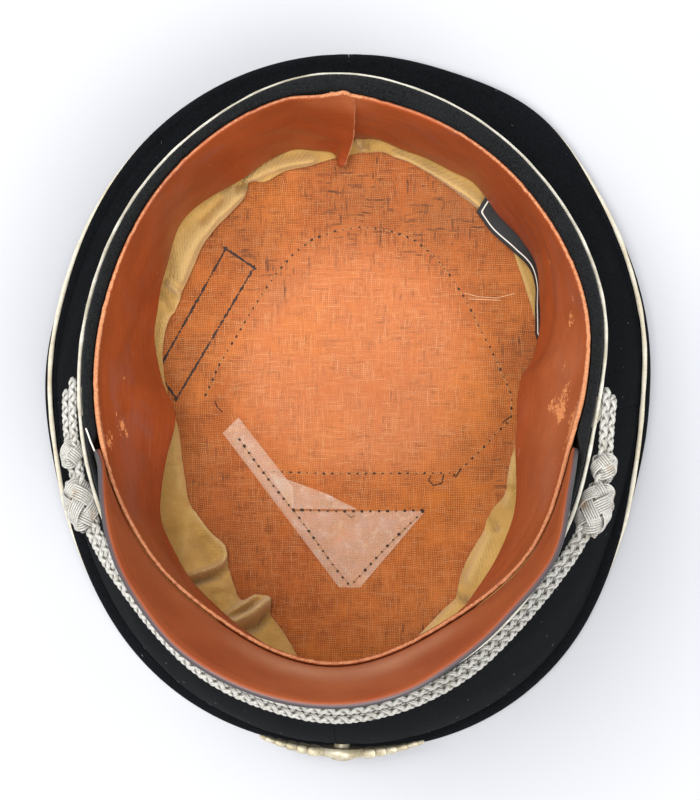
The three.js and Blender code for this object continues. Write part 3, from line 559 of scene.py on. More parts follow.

# %% [markdown]
# ### Sweatband leather
# Sheepskin dyed red-brown and rolled smooth. Its cut edge was never dyed, so the raw orange flesh
# shows there. It flakes along creases to the same orange. It is lighter at the right, partly dried
# leather and partly painted light, and mauve-grey patches of painted sheen lie on it. Each vertex
# carries how wide the raw edge is, how scuffed it is and where the painted light and sheen lie,
# and noise breaks the edge and the scuffs up into fibres and flakes.

# %% Leather
def dyed_leather(name):
    finish, tree, shader = bare_finish(name, 0.42, 0.42)
    place = object_place(tree)
    broad = blots(tree, place, 24, 4, 0.55)
    streaks = clouds(tree, cloth_place(tree, (0.035, 0.5, 1)), 1, 4, 0.6)
    pores = blots(tree, place, 0.7, 4, 0.7)
    ground = mixed(tree, graded(tree, broad, 0.36, 0.66), dye("8f3f1b"), dye("a54d24"))
    # Painted sheen: a mauve-grey tone where the note and the broad noise are high.
    painted_sheen = plus(tree, blots(tree, place, 22, 3, 0.6, 0.4), noted(tree, "haze"))
    # A lighter tone, partly dried leather and partly painted light.
    dry_and_lit_tone = times(tree, noted(tree, "dry"), graded(tree, broad, 0.3, 0.7, 0.5, 1))
    ground = layered(tree, ground, [
        (graded(tree, streaks, 0.45, 0.8, 0, 0.5), "7d3517"),
        (graded(tree, pores, 0.5, 0.85, 0, 0.35), "6d2e13"),
        (graded(tree, painted_sheen, 0.55, 0.74, 0, 0.3), "805c58"), (dry_and_lit_tone, "b9734c")])
    for turn, mark in ((0.5, 0.735), (-0.9, 0.75), (1.9, 0.76)):
        lines = clouds(tree, object_place(tree, (1500, 90, 900), turn), 1, 2, 0.6)
        ground = mixed(tree, graded(tree, lines, mark, mark + 0.03, 0, 0.6), ground, dye("cf9c84"))
    flakes = blots(tree, place, 1.6, 6, 0.72, 0.5)
    scuffed = plus(tree, noted(tree, "scuff"), graded(tree, flakes, 0.3, 0.7))
    scuffed = sums(tree, "GREATER_THAN", scuffed, 1.17)
    ground = mixed(tree, scuffed, ground, dye("e89a62"))
    lay = wire(tree, "ShaderNodeSeparateXYZ", {0: cloth_place(tree)}).outputs
    ragged = times(tree, graded(tree, flakes, 0.3, 0.7, 0.1, 1.9), noted(tree, "raw"))
    raw = graded(tree, sums(tree, "SUBTRACT", ragged, lay["Y"]), 0, 0.24)
    flesh = mixed(tree, graded(tree, pores, 0.35, 0.7), dye("b0683f"), dye("da9a6e"))
    colour_in(tree, shader, mixed(tree, raw, ground, flesh))
    roughen(tree, shader, raw, 0, 1, 0.4, 0.85)
    skin = relief(tree, shader, celled(tree, place, 1.1), 0.05, 0.35)
    skin = relief(tree, shader, streaks, 0.7, 0.35, skin)
    relief(tree, shader, times(tree, plus(tree, raw, scuffed), pores), 0.5, 0.6, skin)
    return finish


leather = dyed_leather("dyed_leather")
print("leather mixed")

# %% [markdown]
# ### Visor fibre
# The visor is pressed fibre: satin brown underneath and black lacquer on top. The lacquer wraps the
# cut edge and has worn to a thin mauve-grey line there. The underside is darker in its creases, and
# a broad pale patch of painted sheen lies in the middle.

# %% Fibre and lacquer
def pressed_fibre(name):
    finish, tree, shader = bare_finish(name, 0.36, 0.36)
    place = object_place(tree)
    broad = blots(tree, place, 30, 4, 0.5)
    fine = blots(tree, place, 1.4, 4, 0.7)
    brushed = clouds(tree, cloth_place(tree, (0.05, 1.1, 1)), 1, 3, 0.6)
    ground = mixed(tree, graded(tree, broad, 0.35, 0.68), dye("8c3c1c"), dye("a1542c"))
    ground = layered(tree, ground, [
        (graded(tree, brushed, 0.45, 0.8, 0, 0.4), "7a3619"),
        (graded(tree, fine, 0.5, 0.9, 0, 0.3), "c07c52")])
    marked = sums(tree, "GREATER_THAN", plus(tree, noted(tree, "scuff"), fine), 1.16)
    ground = mixed(tree, times(tree, marked, 0.75), ground, dye("45251a"))
    # Painted sheen: a pale patch where the note is high, in the middle of the underside.
    pale = times(tree, noted(tree, "rubbed"), graded(tree, broad, 0.3, 0.7, 0.5, 1))
    ground = mixed(tree, pale, ground, dye("c69070"))
    edge = noted(tree, "edge")
    ground = layered(tree, ground, [
        (graded(tree, edge, 4.4, 3.2, 0, 0.35), "a2522c"),
        (graded(tree, edge, 0.3, 0.06), "5e4846")])
    colour_in(tree, shader, ground)
    roughen(tree, shader, fine, 0.2, 0.8, 0.33, 0.5)
    relief(tree, shader, plus(tree, fine, brushed), 0.12, 0.3)
    return finish


def black_lacquer(name):
    finish, tree, shader = bare_finish(name, 0.4, coat_weight=0.1, coat_roughness=0.3)
    crazing = celled(tree, object_place(tree), 5.5, feature="DISTANCE_TO_EDGE")
    cracks = graded(tree, crazing, 0.0, 0.035, 1, 0)
    dust = blots(tree, object_place(tree), 9, 5, 0.65)
    ground = mixed(tree, graded(tree, dust, 0.4, 0.8, 0, 0.5), dye("0b0b0d"), dye("2b2a2b"))
    ground = mixed(tree, times(tree, cracks, 0.4), ground, dye("46403c"))
    worn = graded(tree, noted(tree, "edge"), 0.3, 0.1)
    colour_in(tree, shader, mixed(tree, worn, ground, dye("4c4144")))
    roughen(tree, shader, dust, 0.3, 0.8, 0.3, 0.5)
    relief(tree, shader, cracks, -0.06, 0.5)
    return finish


fibre, lacquer = pressed_fibre("pressed_fibre"), black_lacquer("black_lacquer")
print("fibre and lacquer mixed")

# %% [markdown]
# ### Oilcloth
# The top lining is coarse plain weave filled with rust-coloured oil paint. Where the paint is thin
# the threads show, light or dirty, in short runs along the warp and the weft. So each thread gets
# its own number and a noise that changes slowly along it, and the gaps between threads are dark.
# The stitched middle is smoother, pinker and glossier, so each vertex carries how much it shines,
# how much darker it is and how thick the paint lies.

# %% Oilcloth
THREAD_PITCH = 0.66


def arrow(tree, way, length):
    inputs = {0: way, "Scale": length}
    return wire(tree, "ShaderNodeVectorMath", inputs, operation="SCALE").outputs[0]


def arrows(tree, first, second):
    return wire(tree, "ShaderNodeVectorMath", {0: first, 1: second}, operation="ADD").outputs[0]


def thread_line(tree, place, across, along, pitch, run):
    """One value for each thread at a time, changing slowly along that thread."""
    parts = wire(tree, "ShaderNodeSeparateXYZ", {0: place}).outputs
    number = sums(tree, "FLOOR", sums(tree, "DIVIDE", parts[across], pitch))
    spot = wire(tree, "ShaderNodeCombineXYZ", {
        "X": times(tree, number, 0.731), "Y": sums(tree, "DIVIDE", parts[along], run)})
    place_in = sums(tree, "FRACT", sums(tree, "DIVIDE", parts[across], pitch))
    round_off = sums(tree, "PINGPONG", place_in, 0.5)
    return clouds(tree, spot.outputs[0], 1, 3, 0.65), times(tree, round_off, 2)


def painted_weave(name):
    finish, tree, shader = bare_finish(name, 0.5, 0.24)
    place = object_place(tree)
    woven = place
    for size, detail, stray in ((16, 2, 3), (2.2, 1, 0.5)):
        noise = {"Vector": place, "Scale": 1 / (size * MM), "Detail": detail}
        way = wire(tree, "ShaderNodeTexNoise", noise).outputs["Color"]
        woven = arrows(tree, woven, arrow(tree, way, stray * MM))
    warp, warp_round = thread_line(tree, woven, "X", "Y", THREAD_PITCH * MM, 10 * MM)
    weft, weft_round = thread_line(tree, woven, "Y", "X", THREAD_PITCH * MM, 11 * MM)
    broad = blots(tree, place, 30, 4, 0.6)
    patches = blots(tree, place, 9, 4, 0.65)
    crumbs = blots(tree, place, 0.6, 3, 0.7)
    glaze = clouds(tree, object_place(tree, (20, 34, 1), 0.7), 1, 3, 0.5)
    shine, darkened = noted(tree, "shine"), noted(tree, "darkened")
    ground = mixed(tree, graded(tree, broad, 0.36, 0.64), dye("be6424"), dye("ce7631"))
    rubbed = times(tree, shine, graded(tree, patches, 0.3, 0.62, 0.35, 0.9))
    ground = mixed(tree, rubbed, ground, dye("cb7740"))
    glazed = plus(tree, graded(tree, glaze, 0.56, 0.7, 0, 0.5), noted(tree, "glaze"), clamp=True)
    ground = mixed(tree, glazed, ground, dye("d4792a"))
    light = sums(tree, "MAXIMUM", graded(tree, warp, 0.52, 0.66), graded(tree, weft, 0.52, 0.66))
    light = times(tree, light, graded(tree, patches, 0.35, 0.7, 0.2, 0.65))
    ground = mixed(tree, light, ground, dye("e29c62"))
    dark = sums(tree, "MAXIMUM", graded(tree, warp, 0.44, 0.3), graded(tree, weft, 0.44, 0.3))
    worn = plus(tree, graded(tree, patches, 0.45, 0.72, 0, 0.3), darkened, clamp=True)
    dark = times(tree, dark, plus(tree, worn, 0.24, clamp=True))
    ground = mixed(tree, dark, ground, dye("4e3620"))
    raised = sums(tree, "MINIMUM", warp_round, weft_round)
    gaps = graded(tree, raised, 0.42, 0.1)
    open_weave = times(tree, graded(tree, shine, 0.0, 1.0, 1.0, 0.5),
                      graded(tree, patches, 0.3, 0.65, 0.45, 1.1), clamp=True)
    ground = layered(tree, ground, [
        (times(tree, gaps, open_weave), "5a2b0e"),
        # Darker patches, mostly near the rim of the disc.
        (times(tree, darkened, 0.34), "6e4529"),
        (graded(tree, crumbs, 0.6, 0.74, 0, 0.7), "86431c")])
    colour_in(tree, shader, ground)
    roughen(tree, shader, shine, 0, 1, 0.62, 0.4)
    relief(tree, shader, plus(tree, raised, plus(tree, warp, weft)), 0.12, 0.6)
    return finish


oilcloth = painted_weave("rust_oilcloth")
print("oilcloth mixed")

# %% [markdown]
# ### Khaki cotton
# Soft cotton drill, brushed on its face. The twill is only just visible. Shade is painted into the
# folds and more on the right than on the left, and a painted highlight lies along the ridges.

# %% Cotton
def brushed_cotton(name):
    finish, tree, shader = bare_finish(name, 0.92, 0.2, sheen_weight=0.25, sheen_roughness=0.5)
    place = object_place(tree)
    broad = blots(tree, place, 17, 4, 0.6)
    nap = blots(tree, place, 0.8, 4, 0.7)
    stains = blots(tree, place, 7, 4, 0.6)
    ground = mixed(tree, graded(tree, broad, 0.36, 0.66), dye("c2984e"), dye("dab066"))
    ground = layered(tree, ground, [
        (graded(tree, stains, 0.55, 0.78, 0, 0.45), "a37a3f"),
        (graded(tree, nap, 0.5, 0.82, 0, 0.4), "e6c887"),
        # Painted shade, darker at the wearer's right.
        (graded(tree, noted(tree, "soiled"), 0.25, 1, 0, 0.46), "94713a"),
        # The fold note paints shade into creases and, below zero, a highlight on ridges.
        (graded(tree, noted(tree, "crease"), 0, 1, 0, 0.42), "6b5230"),
        (graded(tree, noted(tree, "crease"), 0, -0.7, 0, 0.6), "e3c88e")])
    colour_in(tree, shader, ground)
    twill = twilled(tree, cloth_place(tree), Scale=0.3, Distortion=1.5)
    skin = relief(tree, shader, twill, 0.16, 0.6)
    relief(tree, shader, nap, 0.5, 0.8, skin)
    return finish


cotton = brushed_cotton("khaki_cotton")
print("cotton mixed")

# %% [markdown]
# ### Silver thread and dull silver
# The cord and knots are plaited from metal thread wound on cotton: bright grey-white, never a
# mirror, a little tarnished. The badge and buttons are struck metal with a worn yellowish finish,
# darker where the polish never reached.

# %% Metals and small cloths
def wound_silver(name, bright, tarnished):
    """Each vertex carries its lift, 1 where a strand rides over and -1 where it dives under."""
    finish, tree, shader = bare_finish(name, 0.5, 0.5, metallic=0.1)
    place = object_place(tree)
    broad = blots(tree, place, 6, 4, 0.65)
    fine = blots(tree, place, 0.45, 3, 0.7)
    ground = mixed(tree, graded(tree, fine, 0.35, 0.7), dye(bright), dye("dbd9d2"))
    ground = mixed(tree, graded(tree, broad, 0.54, 0.74, 0, 0.6), ground, dye(tarnished))
    # Painted shade: the thread darkens where it dives under a crossing strand.
    under = graded(tree, noted(tree, "lift"), 0, -0.85, 0, 0.68)
    ground = mixed(tree, under, ground, dye("3b372f"))
    colour_in(tree, shader, ground)
    relief(tree, shader, fine, 0.1, 0.5)
    return finish


def struck_silver(name):
    finish, tree, shader = bare_finish(name, 0.36, metallic=0.45)
    place = object_place(tree)
    broad = blots(tree, place, 4.5, 5, 0.65)
    pits = blots(tree, place, 0.5, 3, 0.7)
    ground = mixed(tree, graded(tree, broad, 0.34, 0.62), dye("e6ddc4"), dye("b5a98a"))
    ground = mixed(tree, graded(tree, pits, 0.55, 0.75, 0, 0.6), ground, dye("837860"))
    colour_in(tree, shader, ground)
    roughen(tree, shader, broad, 0.3, 0.7, 0.34, 0.6)
    relief(tree, shader, pits, 0.15, 0.6)
    return finish


def celluloid(name, clear, milky, tint):
    """clear and milky are how much of the film covers what lies under it, at its best and worst."""
    finish, tree, shader = bare_finish(name, 0.35)
    place = object_place(tree)
    haze = blots(tree, place, 8, 4, 0.6)
    lifted = blots(tree, place, 3.4, 3, 0.6)
    colour_in(tree, shader, mixed(tree, graded(tree, haze, 0.3, 0.7), dye(tint), dye("f6e2cf")))
    tree.links.new(graded(tree, lifted, 0.54, 0.68, clear, milky), shader.inputs["Alpha"])
    scratches = clouds(tree, object_place(tree, (1200, 40, 1), 0.5), 1, 3, 0.6)
    roughen(tree, shader, scratches, 0.3, 0.8, 0.3, 0.6)
    relief(tree, shader, haze, 0.25, 0.4)
    return finish


def woven_tab(name, border, line):
    """Black satin with a plain white woven line just inside its edge."""
    finish, tree, shader = bare_finish(name, 0.55, sheen_weight=0.1)
    off_line = sums(tree, "ABSOLUTE", sums(tree, "SUBTRACT", noted(tree, "inset"), border))
    stripe = graded(tree, off_line, line / 2 + 0.08, line / 2 - 0.08)
    fine = blots(tree, object_place(tree), 0.4, 3, 0.6)
    black = mixed(tree, graded(tree, fine, 0.3, 0.8), dye("080809"), dye("121315"))
    colour_in(tree, shader, mixed(tree, stripe, black, dye("e4e0d6")))
    rib = wire(tree, "ShaderNodeTexWave", {"Vector": cloth_place(tree), "Scale": 0.5},
               bands_direction="Y").outputs["Fac"]
    relief(tree, shader, plus(tree, rib, stripe), 0.06, 0.5)
    return finish


def spun_thread(name, colour, light, roughness=0.8):
    finish, tree, shader = bare_finish(name, roughness)
    fine = blots(tree, object_place(tree), 0.7, 3, 0.6)
    colour_in(tree, shader, mixed(tree, graded(tree, fine, 0.35, 0.7), dye(colour), dye(light)))
    relief(tree, shader, fine, 0.08, 0.5)
    return finish


silver_plait = wound_silver("silver_plait", "a9a69e", "8c826c")
silver_knots = wound_silver("silver_knots", "a19e95", "a07c52")
dull_silver = struck_silver("dull_silver")
film = celluloid("celluloid", 0.2, 0.32, "f6cb9e")
film_edge = celluloid("lifted_celluloid", 0.2, 0.85, "e6d3c0")
dark_thread = spun_thread("dark_thread", "1d1813", "43362a")
pale_thread = spun_thread("pale_thread", "d8d3c4", "f1ede2")
ink = spun_thread("stamp_ink", "23252b", "4a3a30")
lint = spun_thread("pale_lint", "8d8f95", "c9cbd0")
print("metals and threads mixed")

# %% [markdown]
# ## The crown
# Five pieces of wool: an oval top and four quarter panels. A wire inside the edge rolls it, and the
# top and the quarters meet in a piped seam on that roll. The quarters pull in to a groove where
# they are sewn to each other, so each panel's surface sinks a little at its own ends.

# %% Crown top and quarters
CROWN_SEAMS = {"right": -5.9, "rear": 90, "left": 184.7, "front": 268.4}
SEAM_GAP = 0.03
SEAM_TURN = math.degrees((CORD_WIDTH + ROOM) / ROLL) * 1.2
ROLLED, LAST_TURN = 0.3, 100


def on_roll(azimuth, turn):
    """A point on the rolled edge: turn is 0 outermost, 90 on top and -90 underneath."""
    out = crown_out(azimuth) - ROLL + ROLL * cosine(turn)
    return on_oval(azimuth, CROWN, out, crown_lift(azimuth) + ROLL + ROLL * sine(turn))


def ripple(azimuth, v, waves, height):
    """A few long soft waves, the same each time, for cloth that was never quite flat."""
    total = 0
    for i in range(waves):
        total = total + np.sin(np.radians(azimuth) * (7 + 5 * i) + 9 * v * (1 + 0.4 * i) + 2.1 * i)
    return height * total / waves


def on_crown_top(azimuth, v):
    flat, bottom = 0.45, 0.8
    edge = on_roll(azimuth, -90 + 0 * azimuth)
    share = np.clip(v / bottom, 0, 1)[..., None]
    point = np.array([CROWN["x"], CROWN["y"], 0.0]) * (1 - share) + edge * share
    lift = crown_lift(azimuth) * np.maximum(0, (share[..., 0] - flat) / (1 - flat)) ** 1.6
    point[..., 2] = lift
    turn = -90 + (crown_seam(azimuth) - SEAM_TURN + 90) * np.clip((v - bottom) / (1 - bottom), 0, 1)
    return np.where((v >= bottom)[..., None], on_roll(azimuth, turn), point)


def on_quarter(azimuth, v):
    first = crown_seam(azimuth) + SEAM_TURN
    rolled = on_roll(azimuth, first + (LAST_TURN - first) * np.clip(v / ROLLED, 0, 1))
    share = np.clip((v - ROLLED) / (1 - ROLLED), 0, 1)[..., None]
    start = on_roll(azimuth, LAST_TURN + 0 * azimuth)
    end = on_cap(azimuth, band_out(azimuth) + 0.3, BAND_DEPTH + 2.9)
    bulge = outward(azimuth, 0.6) * quarter_bulge(azimuth)[..., None]
    middle = start + (end - start) * 0.45 + bulge
    draped = (1 - share) ** 2 * start + 2 * share * (1 - share) * middle + share**2 * end
    return np.where((v <= ROLLED)[..., None], rolled, draped)


def quarter_face(first, last):
    def face(azimuth, v):
        point = on_quarter(azimuth, v)
        to_seam = np.minimum(azimuth - first, last - azimuth) * CROWN_STEP
        sunk = 0.55 * bell(to_seam, 1.7) + 0.35 * bell(to_seam - 5, 2.5)
        wave = ripple(azimuth, v, 4, 0.28) * step_up(0.2, 0.5, v) * (1 - step_up(0.85, 1, v))
        return point - outward(azimuth, 0.5) * (sunk * step_up(0, 0.15, v) - wave)[..., None]
    return face


full_round = np.arange(0, 360, 0.75)
crown_rows = np.concatenate([[0, 0.2, 0.36, 0.5, 0.62, 0.7, 0.76], np.linspace(0.8, 0.985, 18),
                             [0.992, 0.997, 1]])
crown_top = sewn_sheet("wool_crown_top", on_crown_top, CLOTH, -1, full_round, crown_rows, [wool],
                       closed=True, pole=True)
hand_in(crown_top, "wool", "crown_top")

quarters = []
for place, first, last in (("rear_right", "right", "rear"), ("rear_left", "rear", "left"),
                           ("front_left", "left", "front"), ("front_right", "front", "right")):
    start, end = CROWN_SEAMS[first], CROWN_SEAMS[last]
    end = end + 360 if end < start else end
    azimuths = np.linspace(start + SEAM_GAP, end - SEAM_GAP, 150)
    panel = sewn_sheet(f"wool_quarter_{place}", quarter_face(start, end), CLOTH, -1, azimuths,
                       rows_along(QUARTER_DEPTH, CLOTH, 52), [wool])
    quarters.append(hand_in(panel, "wool", f"quarter_{place}"))

# %% [markdown]
# ## Band and pipings
# A stiff band stands round the head under black cloth, which turns over its lip to meet the
# leather. Three pipings go with it: one in the crown's edge seam, one where the band meets the
# quarters, and a thin one just outside the lip. All four run right round, so each is a closed
# section carried along the azimuth. The pipings wander a little, as hand-guided sewing does.

# %% Band
def visor_share(azimuth):
    """1 where the visor's flange lies between leather and band, 0 elsewhere."""
    return 1 - step_up(69, 72.4, np.abs(azimuth - 269.7))


def band_sections(azimuths):
    outer = band_out(azimuths)
    inner = leather_edge(azimuths) + 2 * ROOM + visor_share(azimuths) * (2.4 + ROOM)
    width = outer - inner
    lip = np.radians(np.linspace(180, 0, 17))
    worn = 0.18 * np.sin(np.radians(azimuths) * 23) + 0.12 * np.sin(np.radians(azimuths) * 61 + 1)
    places = [(inner, 5), (inner, 3)]
    places += [((inner + outer) / 2 + width / 2 * np.cos(a) * (1 - 0.12 * np.sin(a) ** 6),
                1.7 - (2.1 + worn) * np.sin(a) ** 0.8) for a in lip]
    places += [(outer, deep) for deep in np.linspace(3, BAND_DEPTH, 12)]
    places += [(outer - BAND_WALL, deep) for deep in (BAND_DEPTH, 30, 12)]
    return np.stack([on_cap(azimuths, out, deep) for out, deep in places], axis=1)


band = ring_body("cloth_band", band_sections(np.arange(0, 360, 0.5)), [velvet])
hand_in(band, "band_cloth", "band")


# %% Pipings
def piping_sections(azimuths, middle, radius, wander):
    """middle(azimuth, out, turn) places a point out from the cord's middle, turned round it."""
    stray = np.sin(np.radians(azimuths) * 31) + np.sin(np.radians(azimuths) * 53 + 2)
    size = radius * (1 + wander * stray / 2)
    return np.stack([middle(azimuths, size, turn) for turn in np.arange(0, 360, 30)], axis=1)


def on_edge_seam(azimuth, size, turn):
    seam = crown_seam(azimuth)
    reach = ROLL - 0.35
    out = crown_out(azimuth) - ROLL + reach * cosine(seam) + size * cosine(turn + seam)
    return on_oval(azimuth, CROWN, out, crown_lift(azimuth) + ROLL + reach * sine(seam)
                   + size * sine(turn + seam))


def on_lip_seam(azimuth, size, turn):
    return on_cap(azimuth, piping_edge(azimuth) + size * cosine(turn), 4.6 + size * sine(turn))


def on_band_seam(azimuth, size, turn):
    out = band_out(azimuth) + 0.6 + size * cosine(turn)
    return on_cap(azimuth, out, BAND_DEPTH + 1.35 + size * sine(turn))


fine_round = np.arange(0, 360, 0.5)
for name, middle, radius, wander, finish, node in (
        ("piping_crown", on_edge_seam, 0.88, 0.1, cream, "crown_piping"),
        ("piping_lip", on_lip_seam, 0.66, 0.12, lip_cream, "piping_lower"),
        ("piping_band", on_band_seam, 0.95, 0.08, cream, "piping_upper")):
    piping = ring_body(name, piping_sections(fine_round, middle, radius, wander), [finish])
    hand_in(piping, "piping", node)

# %% [markdown]
# ## Visor
# The visor's flange is caught between leather and band, and from there it rises and flares out over
# the front, dying away at both corners. Its face is lacquered and its back is brown, so one sheet
# has two finishes. A shallow pressed line follows the edge a few millimetres in.

# %% Visor
VISOR_MIDDLE, VISOR_HALF, VISOR_REACH, VISOR_WALL = 269.7, 68.3, 46.5, 2.4


def spots(rows, azimuth, v):
    """Adds up soft round spots, each given by azimuth, share along the sheet, size and strength."""
    total = 0 * azimuth
    for at, share, size, strength in rows:
        away = ((azimuth - at + 180) % 360 - 180) * RIM_STEP
        total = total + strength * bell(np.hypot(away, (v - share) * 50), size)
    return total


def spotted(rows, depth):
    """A note that reads a list of spots on a sheet of that depth."""
    return lambda azimuth, along: spots(rows, azimuth, along / depth)


def on_visor(azimuth, v):
    flange = 0.15
    root = leather_edge(azimuth) + ROOM + VISOR_WALL
    away = np.minimum(1, np.abs(azimuth - VISOR_MIDDLE) / VISOR_HALF)
    reach = VISOR_REACH * (1 - away**2.3) ** 0.8
    share = np.clip((v - flange) / (1 - flange), 0, 1)
    flare = root + (visor_flare(azimuth) - root) * share**1.15
    out = root + (flare - root) * step_up(0, 12, reach)
    pressed = 0.28 * bell((1 - share) * reach - 4.2, 1.1) * step_up(0, 12, reach)
    deep = -0.4 - reach * share
    caught = 7 * (1 - np.minimum(v, flange) / flange) - 0.4
    inside = v <= flange
    return on_cap(azimuth, np.where(inside, root, out - pressed), np.where(inside, caught, deep))


def visor_edge(azimuth, along):
    return along[:, -1:] - along


VISOR_MARKS = [(315.5, 0.62, 3.4, 0.62), (318.5, 0.5, 2.2, 0.6), (309, 0.42, 1.8, 0.55),
               (204.5, 0.6, 1.6, 0.6), (262, 0.35, 1.2, 0.5)]
# Where a pale painted sheen lies on the underside.
VISOR_PAINTED_SHEEN = [(276, 0.45, 11, 0.75), (262, 0.42, 10, 0.65), (288, 0.45, 8, 0.4),
                (252, 0.4, 8, 0.2)]
visor_rounds = VISOR_MIDDLE + VISOR_HALF * np.sin(np.linspace(-np.pi / 2, np.pi / 2, 300)) * 0.9995
visor = sewn_sheet("fibre_visor", on_visor, VISOR_WALL, -1, visor_rounds,
                   rows_along(VISOR_DEPTH, VISOR_WALL, 46), [lacquer, fibre],
                   notes={"edge": visor_edge, "rubbed": spotted(VISOR_PAINTED_SHEEN, VISOR_DEPTH),
                          "scuff": spotted(VISOR_MARKS, VISOR_DEPTH)})
hand_in(visor, "fibre", "visor")

# %% [markdown]
# ## Sweatband
# One strip of leather, sewn along its top and free below, where it leans in towards the head. Its
# ends lap at the rear, and the corner of the upper end has curled inward to a point. Long shallow
# waves and a little twist near the free edge keep it from looking turned on a lathe.

# %% Sweatband
LAP_FROM, LAP_TO, LAP_OVER = 86.6, 93.5, LEATHER + ROOM + 0.1
# Near the lap: the millimetres in one degree, the rounded corner, and the strip's own depth.
LAP_STEP, LAP_CORNER, LAP_DEPTH = 1.62, 8, 52
# How many millimetres of the leather's top edge are raw and orange.
RAW_EDGE = [(2, 0.6), (20, 0.4), (50, 0.3), (84, 0.2), (90, 0.9), (96, 0.3), (130, 0.2),
            (155, 0.3), (168, 0.6), (178, 1), (188, 1.4), (196, 2.4), (200.5, 2.8), (203, 0.8),
            (208, 0.5), (225, 0.4), (270, 0.3), (310, 0.4), (326, 0.5), (336, 1), (342, 2.2),
            (347, 3.2), (351, 2), (356, 0.9)]
raw_width = around(RAW_EDGE)
SCUFFS = [(194.3, 0.42, 1.6, 0.66), (195.4, 0.4, 6, 0.53), (190.6, 0.24, 0.9, 0.66),
          (192, 0.33, 0.8, 0.66), (196.4, 0.48, 1, 0.66), (187, 0.27, 0.8, 0.66),
          (202.4, 0.44, 0.8, 0.66), (198.5, 0.2, 4.4, 0.55), (200.6, 0.12, 3.4, 0.58),
          (150, 0.35, 1.2, 0.6), (140, 0.5, 1.4, 0.58), (123, 0.4, 1.1, 0.62),
          (131, 0.3, 1.2, 0.58), (354, 0.32, 5, 0.58), (350, 0.44, 6, 0.62),
          (347, 0.36, 4.4, 0.62), (346, 0.14, 5, 0.55), (345, 0.03, 4, 0.7), (341, 0.05, 4, 0.68),
          (337, 0.12, 4, 0.5), (351, 0.58, 3.4, 0.6), (0, 0.42, 3.4, 0.56), (10, 0.35, 3.4, 0.58),
          (15, 0.2, 2.4, 0.58), (335, 0.3, 2.4, 0.56), (64, 0.25, 1, 0.6), (36, 0.3, 2.4, 0.54),
          (5, 0.5, 2.4, 0.58), (20, 0.4, 2.2, 0.6), (12, 0.3, 2.6, 0.56), (28, 0.5, 3, 0.52),
          (182, 0.5, 3, 0.52)]
# The leather is lighter at the right: partly dried leather, partly painted light falling on that wall.
DRY_AND_LIT_SPOTS = [(346, 0.45, 24, 0.5), (6, 0.4, 18, 0.35), (326, 0.5, 20, 0.3), (88, 0.1, 7, 0.6),
       (95, 0.05, 6, 0.4)]
# Mauve-grey painted sheen, standing in for the leather's gloss, lies in these patches.
PAINTED_SHEEN_SPOTS = [(200, 0.45, 12, 0.16), (212, 0.4, 16, 0.2), (226, 0.35, 12, 0.12), (338, 0.5, 14, 0.14),
        (325, 0.35, 12, 0.1)]


def on_sweatband(azimuth, v):
    # The lapping end has a rounded corner above and a curled point below.
    from_end = (azimuth - LAP_FROM) * LAP_STEP
    corner = LAP_CORNER * (1 - np.sqrt(1 - np.clip(1 - from_end / 5, 0, 1) ** 2))
    v = v + (1 - v) * corner / LAP_DEPTH
    cover = bell(from_end, 12) * (1 - v) ** 5
    curl = (1 - np.clip((azimuth - LAP_FROM - 1.5) / 8, 0, 1)) ** 2.8 * v**6
    lean = free_lean(azimuth) * v**1.35 - 9 * curl + 2.4 * cover
    lapped = (1 - step_up(LAP_TO, LAP_TO + 9, azimuth)) * LAP_OVER
    wave = ripple(azimuth, v, 5, 0.5) * step_up(0.08, 0.6, v)
    ragged = ripple(azimuth * 3.7, v, 7, 0.12) * (1 - step_up(0, 0.06, v))
    out = leather_edge(azimuth) + lean - lapped + wave + ragged
    deep = -0.9 + (free_deep(azimuth) + 0.9) * v - ragged - 1.9 * cover
    slant = bell(from_end, 6) * (0.7 * v + 2 * curl)
    return on_cap(azimuth + slant, out, deep)


def raw_at(azimuth, along):
    cut_end = np.where(azimuth < LAP_FROM + 0.28, 99, 0)
    return np.maximum(raw_width(azimuth), cut_end)


band_rounds = np.concatenate([np.linspace(LAP_FROM, LAP_FROM + 12, 40)[:-1],
                              np.linspace(LAP_FROM + 12, 360 + LAP_TO - 1, 620)])
# Its notes lay the painted sheen and, at the right, a lighter tone that is partly painted light.
sweatband = sewn_sheet("leather_sweatband", on_sweatband, LEATHER, 1, band_rounds,
                       rows_along(SWEATBAND_DEPTH, LEATHER, 44), [leather], notes={
                           "raw": raw_at, "scuff": spotted(SCUFFS, SWEATBAND_DEPTH),
                           "haze": spotted(PAINTED_SHEEN_SPOTS, SWEATBAND_DEPTH),
                           "dry": spotted(DRY_AND_LIT_SPOTS, SWEATBAND_DEPTH)})
hand_in(sweatband, "hide", "sweatband")

# %% [markdown]
# ## Side lining
# The khaki cotton is gathered between the top lining and the band, so it falls into pleats. A base
# curve carries it from the disc out and up to the band. On top of that lies a list of folds, each a
# short line seen in plan: a ridge where the cloth stands up, or a crease where it is pulled in.

